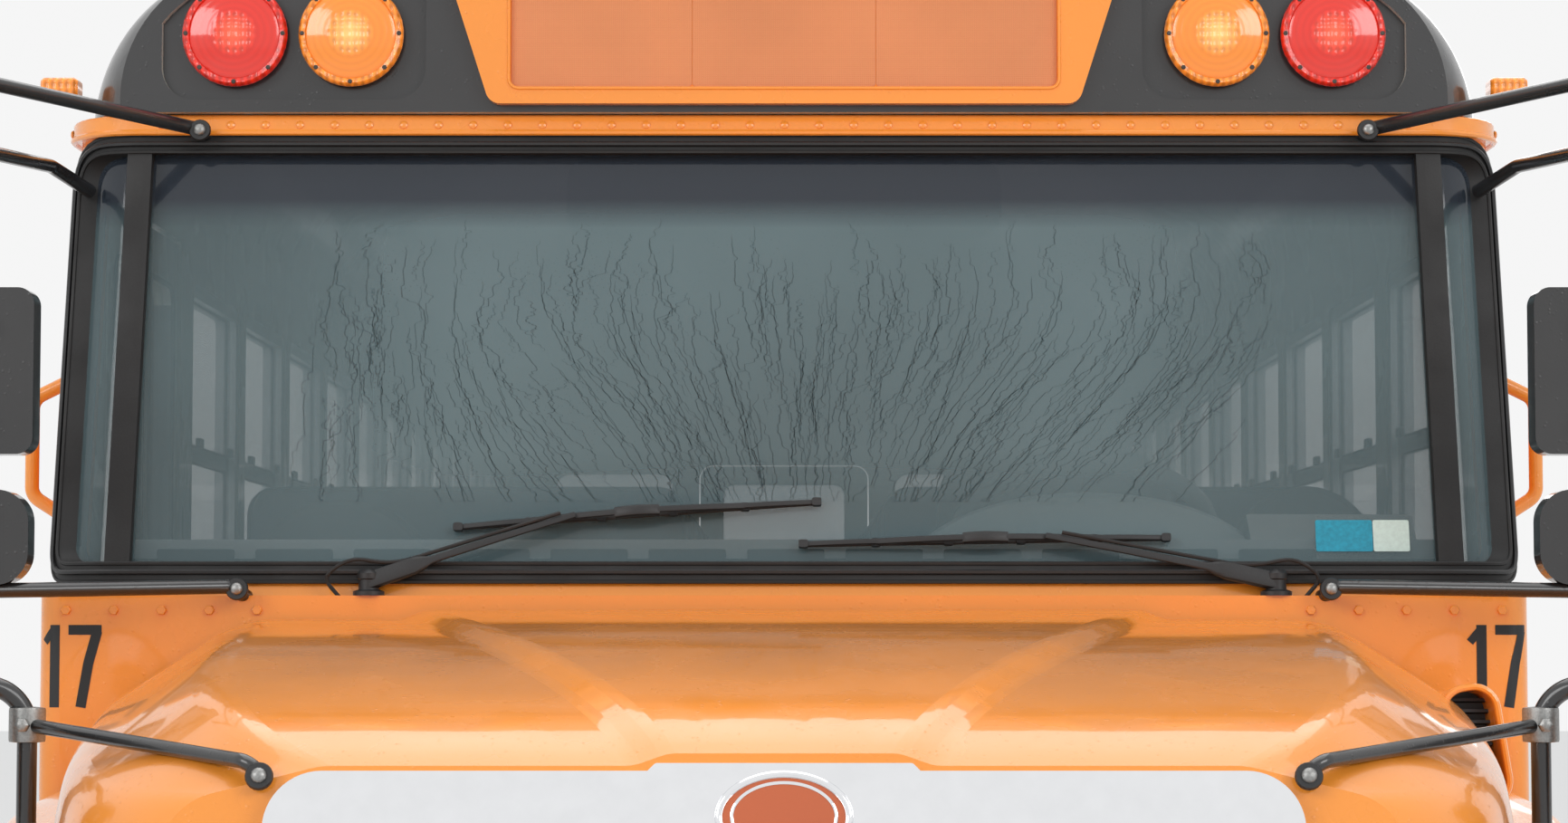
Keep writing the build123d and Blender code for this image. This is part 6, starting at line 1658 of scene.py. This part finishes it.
SIGN_PLACE = (1.250, at(2.960), 1.480)
border_finish = Finish("sign_border", srgb(226, 226, 222), 0.4)
border_finish.shades(border_finish.noise(25), 0.3, 0.7, 0.95, 1.03).rough(border_finish.noise(40), 0.34, 0.5)
border_finish.bump(border_finish.noise(700, 2), 0.0001)
rows = [(0.2235, 0.0), (0.2230, 0.0007), (0.2050, 0.0007), (0.2045, 0.0)]
band = np.vstack([lifted(octagon(a), h) for a, h in rows])
borders = [(placed(band, (SIGN_PLACE[0] + s * 0.006, SIGN_PLACE[1], SIGN_PLACE[2]), (s, 0, 0)),
            grid_faces(4, 8, False, True)) for s in (-1, 1)]
piece("stop_arm_border", borders, border_finish.material, "stop_sign")
edge_line = lifted(octagon(0.2286))
flat_to_side = np.array([[0, 1, 0], [0, 0, 1], [1, 0, 0]])
edge_path = bend(np.vstack([edge_line, edge_line[:2]]), 0.006, 4)[1:-1] @ flat_to_side + SIGN_PLACE
piece("stop_arm_edge", carried(ring(0.0062, 8), edge_path, up=SIDEWAYS), black_satin, "stop_sign")
sign_lens = turned(np.vstack([[(0.040, 0.0), (0.040, 0.006)], dome(0.040, 0.010, 9, 0.006)]), 28)
lamp_spots = [(SIGN_PLACE[0] + 0.006, SIGN_PLACE[1], SIGN_PLACE[2] + dz) for dz in (-0.15, 0.15)]
piece("stop_arm_lamps", copies(sign_lens, lamp_spots, SIDEWAYS), red_lens, "stop_sign")
sign_ring = turned([(0.0400, 0.0), (0.0455, 0.0), (0.0455, 0.006), (0.0420, 0.0085), (0.0400, 0.007)], 28)
piece("stop_arm_lamp_rims", copies(sign_ring, lamp_spots, SIDEWAYS), black_satin, "stop_sign")
print("stop arm:", made["stop_arm_border"] + made["stop_arm_lamps"], "faces")

# %% [markdown]
# ## Flaps and hatches
# The fuel flap, the battery door and a third door near the rear are eased plates, each with a hinge line
# along its top and a turn-button below. The roof hatches close on a rubber seal under a bright bead.

# %% Side flaps
flaps = []
FLAP_Z = 0.808
for s, st, width, height in ((-1, 3.970, 0.200, 0.150), (1, 3.300, 0.620, 0.165), (1, 9.300, 0.420, 0.165)):
    door = rounded_plate(width, height, 0.014, 5, 0.0045, 0.0018)
    flaps.append(set_at(door, (s * HALF_BODY, at(st), FLAP_Z), (s, 0, 0)))
    hinge = tube([(s * (HALF_BODY + 0.005), at(st) - width * 0.46, FLAP_Z + height / 2),
                  (s * (HALF_BODY + 0.005), at(st) + width * 0.46, FLAP_Z + height / 2)], 0.0048, sides=8)
    flaps.append(hinge)
    button = turned([(0.019, 0), (0.019, 0.004), (0.010, 0.006), (0.009, 0.010), (0.0, 0.010)], 18)
    flaps.append(set_at(button, (s * (HALF_BODY + 0.0045), at(st), FLAP_Z - height * 0.32), (s, 0, 0)))
piece("side_flaps", flaps, yellow_part)
print("side flaps:", made["side_flaps"], "faces")

# %% Hatch beads and seals
lid_line = lifted(rounded_rectangle(0.622, 0.622, 0.061, 7))
hatch_places = [(0, at(st)) for st in (4.4975, 8.7635)]
piece("hatch_beads", [bead(lid_line + (*spot, 3.112), 0.0055) for spot in hatch_places], brushed)
piece("hatch_seals", [bead(lid_line + (*spot, 3.092), 0.0065) for spot in hatch_places], rubber)
print("hatches:", made["hatch_beads"] + made["hatch_seals"], "faces")

# %% [markdown]
# ## Benches and the driver's seat
# A bench is a foam cushion and a tall foam back, both in sewn vinyl. A cloth shell blown up a little is the
# surest way to that shape: it crowns the faces and pulls the sides in between the corners. We start from a
# rounded slab whose rings shrink towards a line along its middle, let the cloth run for twenty frames under
# inner pressure with no gravity, and cap how far each point may go. One cushion and one back are simulated
# and then copied as arrays to all the rows, because every bench is the same. A welt cord follows the seam
# round the edge.

# %% Slabs with rounded edges
def slab(width, depth, thickness, corner, around=56, rings=6):
    """Rings from the middle of the underside to the middle of the top, each the outline scaled in."""
    dense = rounded_rectangle(width, depth, corner, 14)
    outline = spaced(np.vstack([dense, dense[:1]]),
                     lambda length: np.linspace(0, length, around, endpoint=False))
    edge = 0.35 * thickness
    t = np.linspace(0, math.pi / 2, 4)
    inset = np.concatenate([np.linspace(depth / 2, edge, rings)[:-1], edge * (1 - np.sin(t)), [0.0],
                            edge * (1 - np.cos(t)), np.linspace(edge, depth / 2, rings)[1:]])
    height = np.concatenate([np.zeros(rings - 1), edge * (1 - np.cos(t)), [thickness / 2],
                             thickness - edge * (1 - np.sin(t)), np.full(rings - 1, thickness)])
    scale = np.stack([(width / 2 - inset) / (width / 2), (depth / 2 - inset) / (depth / 2)], -1)
    level = np.broadcast_to(height[:, None, None], (len(height), around, 1))
    points = np.concatenate([outline[None] * scale[:, None], level], 2)
    return points, grid_faces(len(height), around, wrap_columns=True)


print("points round a slab's middle:", slab(0.9, 0.4, 0.1, 0.05)[0].shape[1])

# %% The cloth run
def stuffed(name, shape, cap, frames=20, pressure=4.0):
    """The slab's points after a cloth run under pressure, none further than cap from where it began."""
    points, faces = shape
    start = points.reshape(-1, 3)
    mesh = bpy.data.meshes.new(name)
    mesh.from_pydata(start.tolist(), [], faces.tolist())
    thing = bpy.data.objects.new(name, mesh)
    bpy.context.scene.collection.objects.link(thing)
    cloth = thing.modifiers.new("stuffing", "CLOTH")
    cloth.settings.quality = 6
    cloth.settings.mass = 0.3
    cloth.settings.tension_stiffness = 30
    cloth.settings.bending_stiffness = 2
    cloth.settings.use_pressure = True
    cloth.settings.uniform_pressure_force = pressure
    cloth.settings.effector_weights.gravity = 0
    for frame_number in range(1, frames + 1):
        bpy.context.scene.frame_set(frame_number)
    grown = thing.evaluated_get(bpy.context.evaluated_depsgraph_get()).data
    flat = np.empty(len(grown.vertices) * 3)
    grown.vertices.foreach_get("co", flat)
    bpy.context.scene.frame_set(1)
    bpy.data.objects.remove(thing)
    move = flat.reshape(-1, 3) - start
    length = np.linalg.norm(move, axis=1, keepdims=True)
    return start + move * np.minimum(1, cap / np.maximum(length, 1e-9)), faces


# %% Padded pieces
def pad(name, shapes, material, body="chassis"):
    """A padded piece: its shells welded and smoothed by one subdivision."""
    thing = piece(name, shapes, material, body, weld=2e-4)
    smooth = thing.modifiers.new("rounding", "SUBSURF")
    smooth.levels = smooth.render_levels = 1
    return thing


CUSHION = (0.94, 0.36, 0.112)
BACK = (0.94, 0.730, 0.078)
cushion_points, cushion_faces = stuffed("cushion_run", slab(*CUSHION, 0.05), 0.010)
back_points, back_faces = stuffed("back_run", slab(*BACK, 0.06), 0.010)
print("stuffed:", cushion_points.shape, "rise", round(float(cushion_points[:, 2].max()) - CUSHION[2], 4))

# %% Rows of benches
BENCH_Y = WINDOW_MIDDLES + 0.060
BENCH_X = 0.675
CUSHION_PLACE = (0, -0.060, 1.260)
BACK_FRONT, BACK_MIDDLE = 0.235, 1.665
cushion = np.clip(cushion_points + (0, 0, 0.009), (-0.48, -0.19, 0.0), (0.48, 0.19, 0.130)) + CUSHION_PLACE
back = np.clip(back_points + (0, 0, 0.0085), (-0.48, -0.375, 0.0), (0.48, 0.375, 0.095))
back = np.column_stack([back[:, 0], BACK_FRONT - back[:, 2], BACK_MIDDLE + back[:, 1]])
spots = np.array([(s * BENCH_X, y, 0) for y in BENCH_Y for s in (-1, 1)])
rows_of = {"bench_cushions": (cushion, cushion_faces), "bench_backs": (back, back_faces)}
bench_pads = [pad(name, [copies(shape, spots, *UPRIGHT)], vinyl) for name, shape in rows_of.items()]
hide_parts("seat_pads")
flat_line = rounded_rectangle(0.925, 0.345, 0.045, 6)
welt_paths = [bead(np.column_stack([flat_line[:, 0], flat_line[:, 1] - 0.060, np.full(24, 1.3755)]), 0.0042,
                   sides=6)]
upright = rounded_rectangle(0.925, 0.722, 0.055, 6)
for off in (0.156, 0.217):
    welt_paths.append(bead(np.column_stack([upright[:, 0], np.full(24, off), upright[:, 1] + BACK_MIDDLE]),
                           0.0042, REARWARD, sides=6))
piece("bench_welts", copies(merged(*welt_paths), spots, *UPRIGHT), vinyl)
print("benches:", len(spots), "faces", made["bench_cushions"] + made["bench_backs"])

# %% [markdown]
# The driver's seat is run the same way with its own sizes. Its back gets upright channels, a cosine across
# its width on the front face only, and both pads are woven cloth, drawn by two fine waves.

# %% The driver's seat
driver_cushion, driver_faces = stuffed("driver_cushion_run", slab(0.48, 0.44, 0.10, 0.07, 48), 0.012)
driver_back, driver_back_faces = stuffed("driver_back_run", slab(0.46, 0.70, 0.09, 0.09, 48), 0.012)
channel = 0.006 * np.cos(driver_back[:, 1] / 0.10 * 2 * math.pi)
driver_back = driver_back - np.column_stack([0 * channel, 0 * channel, channel * (driver_back[:, 2] > 0.05)])
SEAT_X, SEAT_Y = 0.53, at(2.42)
low_pad = np.clip(driver_cushion + (0, 0, 0.010), (-0.25, -0.23, 0.0), (0.25, 0.23, 0.120))
low_pad = low_pad + (SEAT_X, SEAT_Y - 0.02, 1.290)
high_pad = np.clip(driver_back + (0, 0, 0.010), (-0.24, -0.365, 0.0), (0.24, 0.365, 0.110))
high_pad = np.column_stack([SEAT_X + high_pad[:, 0], SEAT_Y + 0.325 - high_pad[:, 2], 1.725 + high_pad[:, 1]])
driver_cloth = Finish("driver_cloth", srgb(52, 54, 60), 0.85)
threads = [driver_cloth.math("SINE", driver_cloth.math("MULTIPLY", driver_cloth.part(i), 1900.0))
           for i in (0, 2)]
weave = driver_cloth.math("MULTIPLY", threads[0], threads[1])
driver_cloth.shades(driver_cloth.noise(60), 0.3, 0.7, 0.8, 1.2).bump(weave, 0.0004)
driver_cloth.set(Sheen_Weight=0.3, Sheen_Roughness=0.5)
seat_a = pad("driver_cushion", [(low_pad, driver_faces)], driver_cloth.material)
seat_b = pad("driver_back", [(high_pad, driver_back_faces)], driver_cloth.material)
print("driver's seat:", made["driver_cushion"] + made["driver_back"], "faces")

# %% [markdown]
# ## Gauges
# Behind the glass is a grained dash with a gauge panel. Gauges are turned rings round a dark dial, with
# ticks every thirty degrees and a needle each.

# %% Gauges
NEEDLE_ANGLE = -2.0
DASH_FACE = (SEAT_X, at(1.800), 1.600)
panel_shape = rounded_plate(0.430, 0.165, 0.03, 6, 0.006, 0.002)
piece("gauge_panel", set_at(panel_shape, DASH_FACE, REARWARD), black_satin)
dials = [(-0.085, 0.0, 0.052), (0.085, 0.0, 0.052), (-0.178, 0.040, 0.024), (-0.178, -0.040, 0.024),
         (0.178, 0.040, 0.024), (0.178, -0.040, 0.024)]
ring_parts, dial_parts, mark_parts, needle_parts = [], [], [], []
for dx, dz, radius in dials:
    place = (DASH_FACE[0] + dx, DASH_FACE[1] + 0.006, DASH_FACE[2] + dz)
    bezel = turned([(radius, 0), (radius + 0.004, 0.002), (radius + 0.003, 0.006), (radius - 0.001, 0.004)],
                   32)
    ring_parts.append(set_at(bezel, place, REARWARD))
    face = turned([(radius, 0.0), (radius, 0.0012), (0.0, 0.0012)], 32)
    dial_parts.append(set_at(face, place, REARWARD))
    turn = np.radians(np.arange(-120, 121, 30))
    tick = rounded_plate(radius * 0.05, radius * 0.2, radius * 0.012, 2, 0.0005, 0.0001)
    for a in turn:
        spun = tick[0] @ spin(a)
        spun = spun + (math.sin(a) * radius * 0.8, math.cos(a) * radius * 0.8, 0.0012)
        mark_parts.append((placed(spun, place, REARWARD), tick[1]))
    needle = plate(np.array([(-0.0016, 0), (0.0016, 0), (0.0004, radius * 0.72), (-0.0004, radius * 0.72)]),
                   0.0008, 0.0001)
    spun = needle[0] @ spin(NEEDLE_ANGLE)
    needle_parts.append((placed(spun + (0, 0, 0.0022), place, REARWARD), needle[1]))
piece("gauge_rims", ring_parts, chrome)
piece("gauge_dials", dial_parts, black_satin)
piece("gauge_marks", mark_parts, border_finish.material)
piece("gauge_needles", needle_parts, sign_red)
print("gauges:", len(dials))

# %% [markdown]
# ## Steering wheel, vents and covers
# The steering wheel's hub has a pad, and a pale ring over its rim is a painted highlight. Along the foot of
# the windshield runs a duct with a pale lip and a row of dark vents, and rounded covers stand on the dash,
# which are plates with an arch for their outline.

# %% Horn pad
WHEEL_PLACE = (SEAT_X, at(2.0), 1.880)
WHEEL_NORMAL = (0, 0.5736, 0.8192)
horn = turned([(0.066, 0.010), (0.066, 0.018), (0.056, 0.026), (0.030, 0.031), (0.0, 0.032)], 32)
piece("horn_pad", set_at(horn, WHEEL_PLACE, WHEEL_NORMAL), dash_grain)
print("horn pad:", made["horn_pad"], "faces")

# %% Switches, duct and vents
rocker = rounded_plate(0.020, 0.034, 0.004, 3, 0.009, 0.003)
switch_spots = [(0.86 + 0.032 * i, at(1.800), 1.600 + dz) for i in range(8) for dz in (-0.028, 0.028)]
piece("dash_switches", copies(rocker, switch_spots, REARWARD), black_satin)
vent_finish = grained("vent_grey", srgb(244, 250, 248), 0.5, grain=500, height=0.0001, contrast=0.3)
duct = rounded_plate(2.200, 0.040, 0.012, 4, 0.080, 0.004)
piece("defroster_duct", set_at(duct, (0, at(1.612), 1.760), *UPRIGHT), dash_grain)
lip = rounded_plate(2.210, 0.050, 0.012, 4, 0.032, 0.004)
piece("defroster_lip", set_at(lip, (0, at(1.612), 1.838), *UPRIGHT), vent_finish)
vent = rounded_plate(0.128, 0.018, 0.004, 3, 0.003, 0.001)
vent_spots = [(x, at(1.587), 1.845) for x in np.arange(-0.975, 0.976, 0.163)]
piece("defroster_vents", copies(vent, vent_spots, FORWARD), black_satin)
print("vents:", len(vent_spots))

# %% Covers on the dash
DASH_TOP = 1.805
pale_dash = grained("pale_dash", srgb(240, 250, 248), 0.5, grain=700, height=0.0001, contrast=0.3)
sweep = np.linspace(0, math.pi, 29)
for name, middle_x, half, top, finish in (("gauge_hood", 0.510, 0.310, 1.952, pale_dash),
                                          ("dash_fan_cover", -0.745, 0.150, 1.940, dash_grain),
                                          ("dash_locker", 0.880, 0.130, 1.962, dash_grain)):
    arch_line = np.column_stack([half * np.cos(sweep), DASH_TOP + (top - DASH_TOP) * np.sin(sweep)])
    arch_line = np.vstack([[(half, 1.764)], arch_line, [(-half, 1.764)]])
    hump = plate(arch_line, 0.110, 0.010)
    piece(name, set_at(hump, (middle_x, at(1.662), 0), REARWARD), finish)
print("covers:", made["gauge_hood"] + made["dash_fan_cover"] + made["dash_locker"], "faces")

# %% The wheel's painted highlight ring
# A pale ring round the whole rim: a painted highlight for the light along the rim's top.
rim_turn = round_circle(64)
rim_circle = np.column_stack([0.225 * np.cos(rim_turn), 0.225 * np.sin(rim_turn), 0 * rim_turn])
rim_highlight_ring = bead(rim_circle, 0.0170, UPWARD, sides=12)
rim_highlight_finish = grained("painted_rim_highlight", srgb(190, 197, 200), 0.4, grain=400, height=0.0002)
piece("steering_wheel_highlight_ring", set_at(rim_highlight_ring, WHEEL_PLACE, WHEEL_NORMAL), rim_highlight_finish)
print("grip:", made["steering_wheel_highlight_ring"], "faces")

# %% A sheet of paper on the dash
sheet = rounded_plate(0.280, 0.078, 0.002, 2, 0.0012, 0.0004)
piece("paper_on_dash", set_at(sheet, (0.915, at(1.628), 1.884), (0.06, -0.75, 0.66)), border_finish.material)
print("paper:", made["paper_on_dash"], "faces")

# %% [markdown]
# ## Inside mirror and aisle
# A broad mirror over the windshield shows the driver the benches. Down the aisle lies a ribbed mat between
# bright strips. Both are plain plates and bars, because the look is in their finish.

# %% Inside mirror
MIRROR_FACING = (0, 0.97, -0.24)
mirror_body = rounded_plate(0.760, 0.150, 0.045, 7, 0.022, 0.006)
piece("inside_mirror", set_at(mirror_body, (0.0, at(1.880), 2.480), MIRROR_FACING), black_satin)
mirror_sheet = rounded_plate(0.745, 0.135, 0.040, 7, 0.0015, 0.0005)
piece("inside_mirror_glass", set_at(mirror_sheet, (0.0, at(1.9015), 2.4748), MIRROR_FACING), mirror_face)
hangers = [tube([(x, at(1.88), 2.50), (x, at(1.86), 2.585), (x, at(1.84), 2.605)], 0.006, 0.02, 8)
           for x in (-0.3, 0.3)]
piece("inside_mirror_stays", hangers, steel)
print("inside mirror:", made["inside_mirror"] + made["inside_mirror_glass"], "faces")

# %% Aisle mat
aisle_low, aisle_high = at(2.70), at(10.60)
mat = rounded_plate(0.340, aisle_high - aisle_low, 0.01, 3, 0.003, 0.001)
piece("aisle_mat", set_at(mat, (0, (aisle_low + aisle_high) / 2, 0.9600), *UPRIGHT), floor_rubber)
strips = [carried(FLAT_BAR, [(s * 0.176, aisle_low, 0.9620), (s * 0.176, aisle_high, 0.9620)], up=UPWARD,
                  sizes=(0.016, 0.004)) for s in (-1, 1)]
piece("aisle_strips", strips, brushed)
print("aisle:", round(aisle_high - aisle_low, 2), "m")
